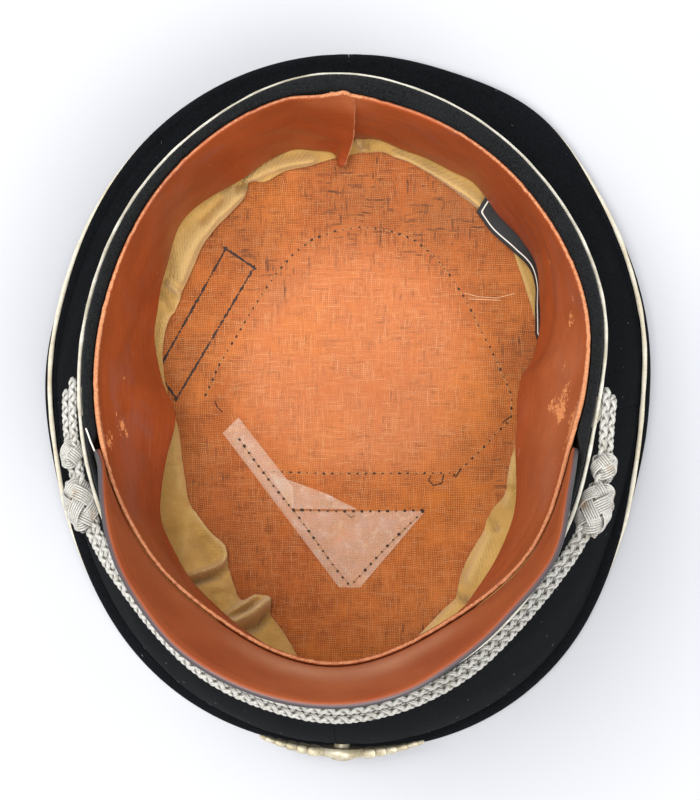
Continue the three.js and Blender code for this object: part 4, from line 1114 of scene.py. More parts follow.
# %% Side lining
# Each fold has a half width, a height (below zero for a crease) and the places it runs through.
FOLDS = [
    # The pouch at the front left: a lip round its mouth, the hollow in it and the crease under it.
    (1.2, 4.4, [(-58, -41), (-52.1, -49.3), (-47.6, -53.4), (-46.2, -56.8), (-47.8, -60.3),
                (-51, -62.3), (-59, -64.5)]),
    (1.2, -4, [(-44.6, -60.8), (-49.2, -63.9), (-58.5, -66.2)]),
    (3.2, -1.6, [(-51.5, -57.5), (-54, -52)]),
    (2.2, 1.2, [(-62, -56), (-60, -40)]),
    (1.6, -0.8, [(-68, -47.6), (-59, -46.4)]),
    # The rolled pleat beside it.
    (2.5, 6.4, [(-44.5, -83), (-37.4, -79.4), (-30.4, -74.6)]),
    (1.5, 4.4, [(-46, -80), (-39, -75), (-35, -72.4)]),
    (1, -4.4, [(-44.6, -79.8), (-37.6, -77), (-34, -73.8)]),
    (1.6, -4.4, [(-41.7, -84.8), (-34.7, -82.8), (-29.6, -79)]),
    (2.6, 1.4, [(-47, -69), (-43, -74)]),
    (1.2, -1.4, [(-50, -71), (-43.6, -70.4)]),
    # The pillow, the twist and the crossing at the rear left.
    (4.2, 3.8, [(-40.8, 80.5), (-51.2, 71.6), (-60.6, 60.3), (-63.9, 49.1)]),
    (1.2, -1.8, [(-49, 77.4), (-55.6, 70.6)]),
    (1.3, 3.2, [(-68.4, 46.1), (-65, 43.1), (-63.4, 40.1), (-66.2, 35.7)]),
    (0.8, -4, [(-71, 42), (-68.1, 40.1), (-67, 36.4)]),
    (2, 1.8, [(-69, 33), (-71, 22)]),
    (0.8, -3.6, [(-42, 82.8), (-36.6, 83.9)]),
    (2.2, 2.8, [(-37, 86), (-33, 88.6), (-26, 91.4), (-14, 93.4)]),
    # The pleats behind the lap and at the rear right.
    (1.5, 3, [(3.4, 101), (6.7, 97), (10, 94.6)]),
    (0.9, -2.6, [(6.7, 99.6), (8.9, 96), (16, 94.9)]),
    (2, 2.8, [(17, 94.6), (24.3, 92.2), (32.5, 88.4), (44.5, 81.3), (50, 76.6)]),
    (0.9, -2, [(23.2, 90.2), (33.9, 84.4), (45.9, 76.2)]),
    (1.6, 1.6, [(56, 69), (64, 55), (69.4, 40)]),
    # The seam and the soft folds along the sides.
    (0.45, -1.2, [(-71, -21.9), (-64, -21.9)]),
    (2.4, 1.6, [(-66, -12), (-63.5, -32)]),
    (0.8, -3.4, [(40.5, -71), (46.5, -74.5)]),
    (2.4, 2.2, [(46, -66), (53, -50)]),
    (0.9, -2.6, [(53.2, -42.2), (56.1, -46.6)]),
    (2, 2, [(60, -37), (63, -20)]),
    (0.9, -1.6, [(60, -31), (64, -32)]),
    (2.4, 2, [(30, -86), (40, -76)])]


def off_line(x, y, points):
    """Distance in plan from a line through the given points."""
    nearest = np.full(x.shape, 1e3)
    for (ax, ay), (bx, by) in zip(points, points[1:]):
        run = np.array([bx - ax, by - ay], float)
        share = np.clip(((x - ax) * run[0] + (y - ay) * run[1]) / (run @ run), 0, 1)
        nearest = np.minimum(nearest, np.hypot(x - ax - share * run[0], y - ay - share * run[1]))
    return nearest


def folded(point, azimuth, v):
    """How far the folds lift the cloth, with painted shade in creases and highlight on ridges."""
    x, y = point[..., 0], point[..., 1]
    rise, dark = 0 * x, 0 * x
    for width, height, points in FOLDS:
        spread, shading = (width, 7) if height > 0 else (width + 0.25, 4)
        fold = height * bell(off_line(x, y, points), spread)
        rise, dark = rise + fold, dark - fold / shading
    fine = ripple(azimuth * 2.3, v, 5, 0.5) + 0.25 * np.sin(azimuth * 0.9 + 14 * v)
    return rise + fine, np.clip(dark, -1, 1)


def through(points, v):
    """A smooth curve through four points, with its knots spaced by the root of the chords."""
    first, second, third, last = points
    ends = [2 * first - second, first, second, third, last, 2 * last - third]
    chords = [np.maximum(np.linalg.norm(b - a, axis=-1), 1e-6) ** 0.5
              for a, b in zip(ends, ends[1:])]
    part = np.minimum((v * 3).astype(int), 2)
    t = (v * 3 - part)[..., None]
    point = 0
    for i in range(3):
        x0, x1, x2, x3 = ends[i:i + 4]
        d0, d1, d2 = (chord[..., None] for chord in chords[i:i + 3])
        leave = ((x1 - x0) / d0 - (x2 - x0) / (d0 + d1) + (x2 - x1) / d1) * d1
        arrive = ((x2 - x1) / d1 - (x3 - x1) / (d1 + d2) + (x3 - x2) / d2) * d1
        bend = 3 * (x2 - x1) - 2 * leave - arrive
        piece = x1 + t * (leave + t * (bend + t * (leave + arrive - 2 * (x2 - x1))))
        point = point + piece * (part == i)[..., None]
    return point


TOP = DISC["z"] + OILCLOTH
HEM = TOP + ROOM + COTTON + 0.2
COTTON_MORE, DISC_MORE = 2.4, 3.6


def rear_spread(azimuth):
    """How much further out the disc and the cotton on it reach at the rear."""
    return 4 * bell(azimuth - 74, 16)


def lining_curve(azimuth, v):
    """The cotton's way from the disc up to the band, before it is folded."""
    most = COTTON_MORE + rear_spread(azimuth)
    reach = np.minimum(lining_reach(azimuth) - oval_radius(azimuth, DISC), most)
    edge = on_oval(azimuth, DISC, reach, HEM)
    against = band_out(azimuth) - BAND_WALL - COTTON - 1.8 * ROOM
    knee, top = on_cap(azimuth, against, BAND_DEPTH + 3), on_cap(azimuth, against, 33)
    low = (edge + knee) / 2 + outward(azimuth) * lining_bulge(azimuth)[..., None]
    low[..., 2] = HEM + (knee[..., 2] - HEM) * 0.28
    return through([edge, low, knee, top], v)


def on_side_lining(azimuth, v):
    point = lining_curve(azimuth, v)
    rise, _ = folded(point, azimuth, v)
    free = (0.45 + 0.55 * step_up(0, 0.08, v)) * (1 - step_up(0.6, 0.9, v))
    lifted = np.stack([-0.4 * cosine(azimuth), -0.4 * sine(azimuth), 1 + 0 * azimuth], axis=-1)
    point = point + lifted * (rise * free)[..., None]
    point[..., 2] = np.maximum(point[..., 2], HEM)
    return point


lining_rounds = np.concatenate([np.arange(*span) for span in (
    (0, 118, 0.8), (118, 160, 0.45), (160, 225, 0.8), (225, 262, 0.4), (262, 360, 0.8))])
hem_rows = np.array([0, 0.12, 0.4]) * COTTON / 2 / LINING_DEPTH
lining_rows = np.concatenate([hem_rows, np.linspace(0.008, 0.42, 52), np.linspace(0.45, 0.98, 18),
                              [0.995, 1]])


# Painted shade in the creases and painted highlight on the ridges, as a note for the cotton.
def painted_fold_shading_at(azimuth, along):
    return folded(lining_curve(azimuth, lining_rows + 0 * azimuth), azimuth, lining_rows)[1]


def painted_shade_right(azimuth, along):
    """Painted shade: the cotton is darker at the wearer's right, a little to the rear."""
    return 0.5 + 0.5 * cosine(azimuth - 18)


side_lining = sewn_sheet("cotton_side_lining", on_side_lining, COTTON, 1, lining_rounds,
                         lining_rows, [cotton], closed=True,
                         notes={"crease": painted_fold_shading_at, "soiled": painted_shade_right})
hand_in(side_lining, "cotton", "lining_side")

# %% [markdown]
# ## Top lining
# The oilcloth lies nearly flat. The notes that its finish reads are set here: a glossier middle
# inside the stitched arch, and darker patches near the rear and the sides.

# %% Top lining
# Places in plan, how far they spread and how strong they are.
GLAZED = [(46, 4, 13, 0.7), (50, 24, 10, 0.4), (36, -38, 14, 0.5), (28, -56, 12, 0.4),
          (-22, -30, 12, 0.25)]
# Darker patches, mostly near the rim of the disc.
DARKER_PATCHES = [(2, 78, 17, 1), (-36, 62, 13, 0.7), (40, 76, 14, 0.8), (-26, 44, 9, 0.5),
          (34, 70, 16, 0.7), (52, 46, 9, 0.5), (-52, -26, 10, 0.45), (-60, 16, 8, 0.4),
          (30, -88, 12, 0.55), (-40, -52, 12, 0.35), (60, -30, 9, 0.45), (66, 20, 9, 0.45),
          (20, -20, 7, 0.1)]


def on_top_lining(azimuth, v):
    point = on_oval(azimuth, DISC, DISC_MORE + rear_spread(azimuth), TOP)
    middle = np.array([DISC["x"], DISC["y"], TOP])
    point = middle + (point - middle) * v[..., None]
    point[..., 2] += 0.1 * np.sin(point[..., 0] / 7) * np.cos(point[..., 1] / 9)
    return point


def disc_places(azimuth, along):
    return DISC["x"] + along * cosine(azimuth), DISC["y"] + along * sine(azimuth)


def shine_at(azimuth, along):
    x, y = disc_places(azimuth, along)
    inside = 1 - np.hypot((x - 3.5) / 57, (y - 16) / 56)
    return step_up(-0.04, 0.42, inside) * (0.35 + 0.65 * step_up(-30, -22, y))


def patchy(rows):
    """A note that adds up soft round patches on the disc."""
    def patches_at(azimuth, along):
        x, y = disc_places(azimuth, along)
        return sum(strength * bell(np.hypot(x - px, y - py), size)
                   for px, py, size, strength in rows)
    return patches_at


top_lining = sewn_sheet("oilcloth_top_lining", on_top_lining, OILCLOTH, 1, np.arange(0, 360, 1.5),
                        np.concatenate([np.linspace(0, 0.98, 70), [0.995, 1]]), [oilcloth],
                        closed=True, pole=True,
                        notes={"shine": shine_at, "darkened": patchy(DARKER_PATCHES), "glaze": patchy(GLAZED)})
hand_in(top_lining, "oilcloth", "lining_top")

# %% [markdown]
# ## Sweat shield
# What is left of a celluloid sheet is a triangle with a strip running off to one side. It is clear,
# slightly milky, and its cut edge has lifted and turned white. We cut the outline, inset a narrow
# border, lift the border unevenly and give the whole film its small thickness.

# %% Celluloid
FILM_OUTLINE = [(-20.5, -40.2), (29.4, -40.2), (4.6, -69.2), (-3.4, -69.2), (-47.6, -10.6),
                (-41.6, -4.6), (-20.8, -31.2)]
FILM_PATCH = [(-30.2, -25.6), (-21.4, -39.4), (3.6, -39.6), (-8.2, -33.6)]
FILM_WALL, FILM_BORDER = 0.22, 1.7


def cut_film(name, outline, z, border, finishes):
    film_cut = bmesh.new()
    corners = [film_cut.verts.new((x * MM, y * MM, z * MM)) for x, y in outline]
    sheet = film_cut.faces.new(corners)
    sheet.normal_update()
    if sheet.normal.z < 0:
        sheet.normal_flip()
    if border:
        rim = bmesh.ops.inset_region(film_cut, faces=[sheet], thickness=border * MM)["faces"]
        for face in rim:
            face.material_index = 1
    bmesh.ops.triangulate(film_cut, faces=film_cut.faces)
    bmesh.ops.subdivide_edges(film_cut, edges=film_cut.edges, cuts=5, use_grid_fill=True)
    bmesh.ops.triangulate(film_cut, faces=film_cut.faces)
    for corner in film_cut.verts:
        x, y = corner.co.x / MM, corner.co.y / MM
        lifted = 0.32 + 0.3 * math.sin(x * 0.7) * math.cos(y * 0.45)
        corner.co.z += (lifted if corner.is_boundary else 0.08 * math.sin(x / 3)) * MM
    bmesh.ops.solidify(film_cut, geom=film_cut.faces[:], thickness=FILM_WALL * MM)
    bmesh.ops.recalc_face_normals(film_cut, faces=film_cut.faces)
    mesh = bpy.data.meshes.new(name)
    film_cut.to_mesh(mesh)
    film_cut.free()
    for finish in finishes:
        mesh.materials.append(finish)
    return stand(name, mesh, 40)


shield = cut_film("celluloid_shield", FILM_OUTLINE, TOP + 0.42, FILM_BORDER, [film, film_edge])
hand_in(shield, "film", "sweat_shield")
shield_patch = cut_film("celluloid_patch", FILM_PATCH, TOP + 0.36, 0, [film])
hand_in(shield_patch, "film")

# %% [markdown]
# ## Label
# A black cloth tab stands between the leather and the cotton at the wearer's right. Any name that
# such a tab carries is left off: it has only the plain woven line that runs inside its edge.

# %% Cloth tab
LABEL = {"from": 1, "to": 53.5, "top": 28, "deep": 56.5, "behind": 1.4, "wall": 0.6}
# Azimuth, and how far the tab's lower edge bends out from under the leather.
LABEL_SHOWS = [(1, 0.8), (7.5, 1.5), (14, 1.2), (20, 1), (27.7, 0.4), (34.5, 2.1), (39, 3.3),
               (47, 4.6), (53.5, 5)]


def on_label(azimuth, v):
    deep = LABEL["top"] + (LABEL["deep"] - LABEL["top"]) * v
    lean = np.maximum(free_lean(azimuth), -9) * np.minimum(1, deep / SWEATBAND_DEPTH) ** 1.35
    shows = np.interp(azimuth, *np.transpose(LABEL_SHOWS)) + LEATHER + LABEL["behind"]
    bent = shows * np.clip((v - 0.8) / 0.2, 0, 1) ** 1.2
    loose = 0.35 * np.sin(np.radians(azimuth) * 19 + 3 * v) * v
    return on_cap(azimuth, leather_edge(azimuth) + lean + LABEL["behind"] + loose - bent, deep)


def label_inset(azimuth, along):
    from_end = np.minimum(azimuth - LABEL["from"], LABEL["to"] - azimuth) * RIM_STEP
    return np.minimum(from_end, np.minimum(along, along[:, -1:] - along))


label_line = woven_tab("woven_tab", 1.7, 0.45)
tab = sewn_sheet("cloth_tab", on_label, LABEL["wall"], 1,
                 np.linspace(LABEL["from"], LABEL["to"], 110),
                 rows_along(TAB_DEPTH, LABEL["wall"], 40), [label_line],
                 notes={"inset": label_inset})
hand_in(tab, "label_cloth", "label")

# %% [markdown]
# ## Growing threads with Geometry Nodes
# Stitches and strands repeat along a line, which is what Geometry Nodes do well. A carrier object
# holds the line as a bare mesh, with attributes that say which way is across and which is up. The
# tree turns it into a curve, copies or resamples it, and skins it. The result is taken as a plain
# mesh, so no modifier is left on the piece.

# %% Trees and carriers
def new_tree(name, sockets):
    tree = bpy.data.node_groups.new(name, "GeometryNodeTree")
    tree.is_modifier = True
    tree.interface.new_socket("Line", in_out="INPUT", socket_type="NodeSocketGeometry")
    for label, kind, value in sockets:
        socket = tree.interface.new_socket(label, in_out="INPUT", socket_type=f"NodeSocket{kind}")
        if value is not None:
            socket.default_value = value
    tree.interface.new_socket("Made", in_out="OUTPUT", socket_type="NodeSocketGeometry")
    return tree, tree.nodes.new("NodeGroupInput").outputs


def end_tree(tree, made, finish):
    real = wire(tree, "GeometryNodeRealizeInstances", {"Geometry": made}).outputs["Geometry"]
    painted = wire(tree, "GeometryNodeSetMaterial", {"Geometry": real, "Material": finish})
    wire(tree, "NodeGroupOutput", {"Made": painted.outputs["Geometry"]})


def line_mesh(name, lines, closed=False, vectors=None, numbers=None):
    """Lines of points in millimetres as one bare mesh, with vector and number attributes."""
    points = np.concatenate(lines)
    edges, first = [], 0
    for line in lines:
        count = len(line)
        steps = count if closed else count - 1
        edges += [(first + i, first + (i + 1) % count) for i in range(steps)]
        first += count
    mesh = bpy.data.meshes.new(name)
    mesh.from_pydata((points * MM).tolist(), edges, [])
    for key, values in (vectors or {}).items():
        layer = mesh.attributes.new(key, "FLOAT_VECTOR", "POINT")
        layer.data.foreach_set("vector", np.concatenate(values).astype(np.float32).ravel())
    for key, values in (numbers or {}).items():
        note(mesh, key, np.concatenate(values))
    return mesh


def grow(name, mesh, tree, **inputs):
    carrier = bpy.data.objects.new(name, mesh)
    bpy.context.scene.collection.objects.link(carrier)
    modifier = carrier.modifiers.new("grow", "NODES")
    modifier.node_group = tree
    for item in tree.interface.items_tree:
        key = item.name.replace(" ", "_").lower()
        if item.in_out == "INPUT" and key in inputs:
            modifier[item.identifier] = inputs[key]
    depsgraph = bpy.context.evaluated_depsgraph_get()
    made = bpy.data.meshes.new_from_object(carrier.evaluated_get(depsgraph), depsgraph=depsgraph)
    carrier.modifiers.clear()
    carrier.data = made
    made.polygons.foreach_set("use_smooth", np.ones(len(made.polygons), bool))
    return carrier


def field(tree, name, data_type="FLOAT"):
    node = wire(tree, "GeometryNodeInputNamedAttribute", {"Name": name}, data_type=data_type)
    return node.outputs["Attribute"]


def chance(tree, low, high, seed):
    """A random vector or a random number for each point, between two limits."""
    vector = isinstance(low, tuple)
    first = 0 if vector else 2
    node = wire(tree, "FunctionNodeRandomValue", {first: low, first + 1: high, "Seed": seed},
                data_type="FLOAT_VECTOR" if vector else "FLOAT")
    return node.outputs[0 if vector else 1]


def carried_curve(tree, given):
    return wire(tree, "GeometryNodeMeshToCurve", {"Mesh": given["Line"]}).outputs["Curve"]


def copied(tree, given, amount):
    """The carried line so many times over, each copy with an index of its own."""
    inputs = {"Geometry": carried_curve(tree, given), "Amount": amount}
    return wire(tree, "GeometryNodeDuplicateElements", inputs, domain="SPLINE").outputs


def skinned(tree, curve, radius, sides):
    circle = {"Resolution": sides, "Radius": radius}
    circle = wire(tree, "GeometryNodeCurvePrimitiveCircle", circle).outputs["Curve"]
    inputs = {"Curve": curve, "Profile Curve": circle, "Fill Caps": True}
    return wire(tree, "GeometryNodeCurveToMesh", inputs).outputs["Mesh"]


# %% [markdown]
# ### The plait
# The chin cord's ropes are round braids. Half the strands wind to the right and half to the left,
# each of two threads side by side. They ride up and down in step with the crossings, so at one
# moment all right-hand strands are on top and a quarter turn later all the left-hand ones are. Seen
# from above that gives two rows of long slanted grains with dark gaps.

# %% Plait tree
plait, given = new_tree("round_plait", [
    ("Strands Each Way", "Int", 2), ("Twin Gap", "Float", 0.62), ("Pitch", "Float", 0.0096),
    ("Turn", "Float", math.pi / 4), ("Thread Radius", "Float", 0.00052),
    ("Wave", "Float", 0.00024), ("Finish", "Material", None)])
copies = copied(plait, given, times(plait, given["Strands Each Way"], 4))
number = sums(plait, "FLOOR", sums(plait, "DIVIDE", copies["Duplicate Index"], 2))
twin = sums(plait, "SUBTRACT", sums(plait, "MODULO", copies["Duplicate Index"], 2), 0.5)
rightward = sums(plait, "LESS_THAN", number, given["Strands Each Way"])
hand = sums(plait, "SUBTRACT", times(plait, rightward, 2.0), 1.0)
berth = sums(plait, "MODULO", number, given["Strands Each Way"])
phase = sums(plait, "DIVIDE", times(plait, berth, math.tau), given["Strands Each Way"])
phase = plus(plait, phase, given["Turn"])
wound = sums(plait, "DIVIDE", times(plait, field(plait, "along"), math.tau), given["Pitch"])
angle = plus(plait, times(plait, hand, wound), phase)
angle = plus(plait, angle, times(plait, twin, given["Twin Gap"]))
ride = sums(plait, "COSINE", times(plait, wound, given["Strands Each Way"]))
ride = times(plait, times(plait, hand, ride), given["Wave"])
reach = plus(plait, field(plait, "rope"), ride)
sideways = arrow(plait, field(plait, "across", "FLOAT_VECTOR"),
                 times(plait, reach, sums(plait, "COSINE", angle)))
upwards = arrow(plait, field(plait, "upward", "FLOAT_VECTOR"),
                times(plait, reach, sums(plait, "SINE", angle)))
laid = wire(plait, "GeometryNodeStoreNamedAttribute", {
    "Geometry": copies["Geometry"], "Name": "lift",
    "Value": sums(plait, "DIVIDE", ride, given["Wave"])}).outputs["Geometry"]
laid = wire(plait, "GeometryNodeSetPosition", {
    "Geometry": laid, "Offset": arrows(plait, sideways, upwards)}).outputs["Geometry"]
end_tree(plait, skinned(plait, laid, given["Thread Radius"], 7), given["Finish"])
print("plait tree:", len(plait.nodes), "nodes")

# %% [markdown]
# ## Chin cord
# Two ropes lie side by side above the visor, the outer one a little deeper. They are one loop: at
# each end the inner rope runs on a few millimetres further, dips, and comes back as the outer one,
# so from above each end shows two rounded tips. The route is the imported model's own, by azimuth.

# %% Chin cord
CORD_ROUTE = [(185.5, 12, 8.6), (191, 12.7, 8.4), (197, 13.4, 8.2), (205, 14.4, 8.2),
              (213, 15.4, 8.2), (220, 15.5, 8), (228, 15.2, 8), (236, 16, 8), (246, 17.6, 8),
              (258, 18.1, 8), (269, 18.8, 8), (277, 17.9, 8), (285, 16.6, 8.2), (293, 15.2, 8.6),
              (301, 13.4, 9.2), (308, 12.7, 9.4), (315, 13, 9.2), (322, 13.8, 8.8),
              (330, 14.2, 8.4), (338, 13, 8.3), (345, 11.3, 8.3), (352.5, 11, 8.6)]
ROPE, ROPE_ACROSS, ROPE_DEEPER = 1.75, 2.55, 2.5
# How far the strands' middles run from the rope's own, its taper, and the spacing of its points.
ROPE_CORE, ROPE_TAPER, ROPE_POINTS = 0.88, 1.9, 0.62
cord_out, cord_deep = around(CORD_ROUTE), around(CORD_ROUTE, 2)


def on_rope(azimuth, hand):
    middle = cord_out(azimuth) - ROPE - ROPE_ACROSS / 2
    out = middle + hand * ROPE_ACROSS / 2
    return on_cap(azimuth, out, cord_deep(azimuth) + hand * ROPE_DEEPER / 2)


def evenly(points, step):
    """The same line with its points a fixed step apart."""
    run = np.concatenate([[0], np.cumsum(np.linalg.norm(np.diff(points, axis=0), axis=1))])
    marks = np.linspace(0, run[-1], int(run[-1] / step) + 1)
    return np.stack([np.interp(marks, run, points[:, i]) for i in range(3)], axis=1), marks


def unit(vectors):
    return vectors / np.linalg.norm(vectors, axis=-1, keepdims=True)


def rope_line(hand, first, last):
    points, run = evenly(on_rope(np.linspace(first, last, 700), hand), ROPE_POINTS)
    ahead = unit(np.gradient(points, axis=0))
    across = unit(np.cross(ahead, (0, 0, 1)))
    upward = np.cross(across, ahead)
    to_end = np.minimum(run, run[-1] - run) / ROPE_TAPER
    rope = ROPE_CORE * np.sqrt(np.clip(1 - (1 - np.clip(to_end, 0, 1)) ** 2, 0.02, 1))
    dip = 1.3 * np.clip(1 - to_end / 1.5, 0, 1) ** 2
    return points - upward * dip[:, None], run * MM, across, upward, rope * MM


inner_rope = rope_line(-1, CORD_ROUTE[0][0] - 1.6, CORD_ROUTE[-1][0] + 1.4)
outer_rope = rope_line(1, CORD_ROUTE[0][0] + 0.4, CORD_ROUTE[-1][0] + 0.4)
ropes = list(zip(inner_rope, outer_rope))
cord_lines = line_mesh("cord_lines", ropes[0], numbers={"along": ropes[1], "rope": ropes[4]},
                       vectors={"across": ropes[2], "upward": ropes[3]})
chin_cord = grow("plaited_chin_cord", cord_lines, plait, strands_each_way=2, pitch=0.0096,
                 twin_gap=0.62, turn=math.pi / 4, thread_radius=0.00052, wave=0.00024,
                 finish=silver_plait)
hand_in(chin_cord, "silver_thread", "chin_cord")
core_tree, given = new_tree("core", [("Radius", "Float", 0.001), ("Finish", "Material", None)])
core_skin = skinned(core_tree, carried_curve(core_tree, given), given["Radius"], 8)
end_tree(core_tree, core_skin, given["Finish"])
core_lines = line_mesh("core_lines", [points[3:-3:3] for points in ropes[0]])
# The core's dull grey is painted shade: it shows through the plait's gaps as silver in shadow.
core = grow("cord_core", core_lines, core_tree, radius=0.0007,
            finish=spun_thread("core_thread", "5c5850", "7c786e"))
hand_in(core, "silver_thread")
print("cord", round(2 * inner_rope[1][-1], 3), "m of rope in all")

# %% [markdown]
# ## Sliding knots
# Each end of the cord carries a small and a large knot: a Turk's head, one strand that wraps round
# and round while it swings from side to side, going over and under itself. It is worked with
# several threads laid flat beside each other, so we draw the one strand and let a tree lay them.

# %% Knots
laying, given = new_tree("laid_threads", [
    ("Threads", "Int", 4), ("Spacing", "Float", 0.0008), ("Thread Radius", "Float", 0.0004),
    ("Finish", "Material", None)])
copies = copied(laying, given, given["Threads"])
half_way = sums(laying, "DIVIDE", sums(laying, "SUBTRACT", given["Threads"], 1), 2)
berth = sums(laying, "SUBTRACT", copies["Duplicate Index"], half_way)
aside = arrow(laying, field(laying, "sideways", "FLOAT_VECTOR"),
              times(laying, berth, given["Spacing"]))
laid = wire(laying, "GeometryNodeSetPosition", {"Geometry": copies["Geometry"], "Offset": aside})
laid = skinned(laying, laid.outputs["Geometry"], given["Thread Radius"], 6)
end_tree(laying, laid, given["Finish"])

KNOT_THREAD = 0.4
# Name, azimuth, how far out and how deep it sits, and its length, width and height.
KNOTS = [("small_left", 199.6, 10.9, 8.4, 9.4, 9.2, 9.6),
         ("large_left", 209.2, 12.9, 8.7, 19, 11.8, 11.4),
         ("small_right", 337.6, 9.9, 8.2, 9.2, 9.6, 9.6),
         ("large_right", 329.4, 11.4, 8.4, 19.6, 12.2, 11.4)]


def knot_frame(at, out, deep):
    middle = on_cap(np.array(at, float), out, deep)
    along = unit(on_rope(np.array(at + 1.0), 0) - on_rope(np.array(at - 1.0), 0))
    down = np.array([0, -math.sin(LEAN), -math.cos(LEAN)])
    outer = unit(np.cross(along, down))
    return middle, np.stack([along, outer, np.cross(along, outer)])


def turks_head(size, leads, bights, thread, turn):
    """The strand's middle line and the way across it, on an egg of the knot's own size."""
    t = np.linspace(0, math.tau * leads, leads * 110, endpoint=False)
    swing = bights * t / leads
    x = 0.8 * np.cos(swing)
    over = np.sin((leads - 1) * swing + (0 if leads % 2 else np.pi / 2)) * thread
    narrow = (1 - np.abs(x) ** 2.4) ** 0.5
    grow_out = np.array(size) / 2 - 2.1 * thread
    shape = np.stack([x, narrow * np.cos(t + turn), narrow * np.sin(t + turn)], axis=1)
    facing = unit(np.stack([0.35 * x, np.cos(t + turn), np.sin(t + turn)], axis=1))
    points = shape * grow_out + facing * over[:, None]
    ahead = unit(np.roll(points, -1, 0) - np.roll(points, 1, 0))
    return points, unit(np.cross(ahead, facing)), over / thread


EGG = [((1 - across**2) ** 0.5, across) for across in np.linspace(-0.9, 0.9, 15)]
for name, at, out, deep, *size in KNOTS:
    middle, axes = knot_frame(at, out, deep)
    leads, bights, threads = (5, 4, 6) if name.startswith("large") else (3, 4, 5)
    points, aside, lift = turks_head(size, leads, bights, KNOT_THREAD, 0.5)
    # The lift also darkens the knot's threads where they dive under: painted shade.
    mesh = line_mesh(name, [points @ axes + middle], closed=True,
                     vectors={"sideways": [aside @ axes]}, numbers={"lift": [lift]})
    knot = grow(f"knot_threads_{name}", mesh, laying, threads=threads,
                spacing=2.12 * KNOT_THREAD * MM, thread_radius=KNOT_THREAD * MM,
                finish=silver_knots)
    hand_in(knot, "silver_thread", f"knot_{name}")
    egg, quads = turned(EGG, 24)
    egg = egg[..., [2, 0, 1]] * (np.array(size) / 2 - 3.2 * KNOT_THREAD)
    # The knot's core takes the same grey: painted shade for the hollow inside the knot.
    mesh = plain_mesh(f"knot_core_{name}", egg @ axes + middle, quads, core.data.materials[0])
    hand_in(stand(f"knot_core_{name}", close_up(mesh, fill=True)), "silver_thread")

# %% [markdown]
# ## Stitches
# An arch of stitches and a straight row hold the reinforced middle of the top lining, and two rows
# hold the film. Each stitch is a short dark grain lying along its row, a little askew. The tree
# resamples the row to the stitch length and puts one grain on each point.

# %% Stitch tree
sewing, given = new_tree("stitch_row", [
    ("Spacing", "Float", 0.003), ("Length", "Float", 0.0012), ("Thickness", "Float", 0.0003),
    ("Seed", "Int", 1), ("Finish", "Material", None)])
row = {"Curve": carried_curve(sewing, given), "Length": given["Spacing"]}
marks = wire(sewing, "GeometryNodeResampleCurve", row, mode="LENGTH").outputs["Curve"]
tangent = sewing.nodes.new("GeometryNodeInputTangent").outputs["Tangent"]
aim = wire(sewing, "FunctionNodeAlignRotationToVector", {"Vector": tangent}, axis="X").outputs[0]
askew = chance(sewing, (0, -0.15, -0.45), (0, 0.15, 0.45), given["Seed"])
askew = wire(sewing, "FunctionNodeRotateRotation", {"Rotation": aim, "Rotate By": askew}).outputs[0]
sizes = chance(sewing, 0.55, 1.25, given["Seed"])
grain = wire(sewing, "GeometryNodeMeshUVSphere", {"Segments": 8, "Rings": 5, "Radius": 0.5})
shape = wire(sewing, "ShaderNodeCombineXYZ", {
    "X": given["Length"], "Y": given["Thickness"], "Z": given["Thickness"]}).outputs[0]
grain = wire(sewing, "GeometryNodeTransform", {"Geometry": grain.outputs["Mesh"], "Scale": shape})
sewn = wire(sewing, "GeometryNodeInstanceOnPoints", {
    "Points": marks, "Instance": grain.outputs["Geometry"], "Rotation": askew, "Scale": sizes})
end_tree(sewing, sewn.outputs["Instances"], given["Finish"])

# %% [markdown]
# Rows are drawn on the disc, in millimetres, and smoothed so that the needle's path bends
# evenly. Some rows also show the thread running between the holes.

# %% Rows on the top lining
ARCH = [(-54.1, 3.8), (-49.5, 14.7), (-45.9, 20.4), (-42.4, 26.1), (-38.9, 32.4), (-31.8, 43.4),
        (-26.5, 51.2), (-20.8, 57.5), (-13, 63.2), (-4.6, 66.4), (4.7, 67.8), (15.2, 66.4),
        (24.6, 63.2), (32.7, 56.8), (39.1, 49), (44.4, 40.5), (49, 31), (54, 22.5), (58.2, 12.6),
        (62.1, 3.4), (62.1, -5.1), (55, -11.8), (50.3, -17.2), (45.7, -21.9), (40.3, -26.4)]
CROSS_ROW = [(-31.4, -25.3), (-10, -25.9), (12, -25.7), (38.6, -25.8)]
FILM_ROW = [(-41.2, -13.2), (-37.5, -18.5), (-29.3, -29), (-21.3, -39.4), (-16.9, -45.4),
            (-4.9, -61.5), (0.7, -68.4), (6.4, -62.6), (16.4, -52), (28.3, -40.2)]
FILM_TOP = [(-20.8, -39.8), (-6, -40.2), (12, -40), (28, -39.9)]


def row_on_disc(points, height=0.1, slack=0.0):
    flat = np.array(points, float)
    fine = np.linspace(0, len(flat) - 1, 20 * len(flat))
    line = np.stack([np.interp(fine, np.arange(len(flat)), flat[:, i]) for i in range(2)], axis=1)
    line += slack * np.stack([np.sin(fine * 2.1), np.cos(fine * 1.7)], axis=1)
    return np.column_stack([line, np.full(len(line), TOP + height)])


def sew(name, rows, slot, finish, seed, height, spacing, length, thickness):
    """Sizes are in millimetres: the height is that of the row above the lining."""
    lines = line_mesh(name, [row_on_disc(row, height, 0.18) for row in rows])
    stitched = grow(name, lines, sewing, spacing=spacing * MM, length=length * MM,
                    thickness=thickness * MM, seed=seed, finish=finish)
    return hand_in(stitched, slot)


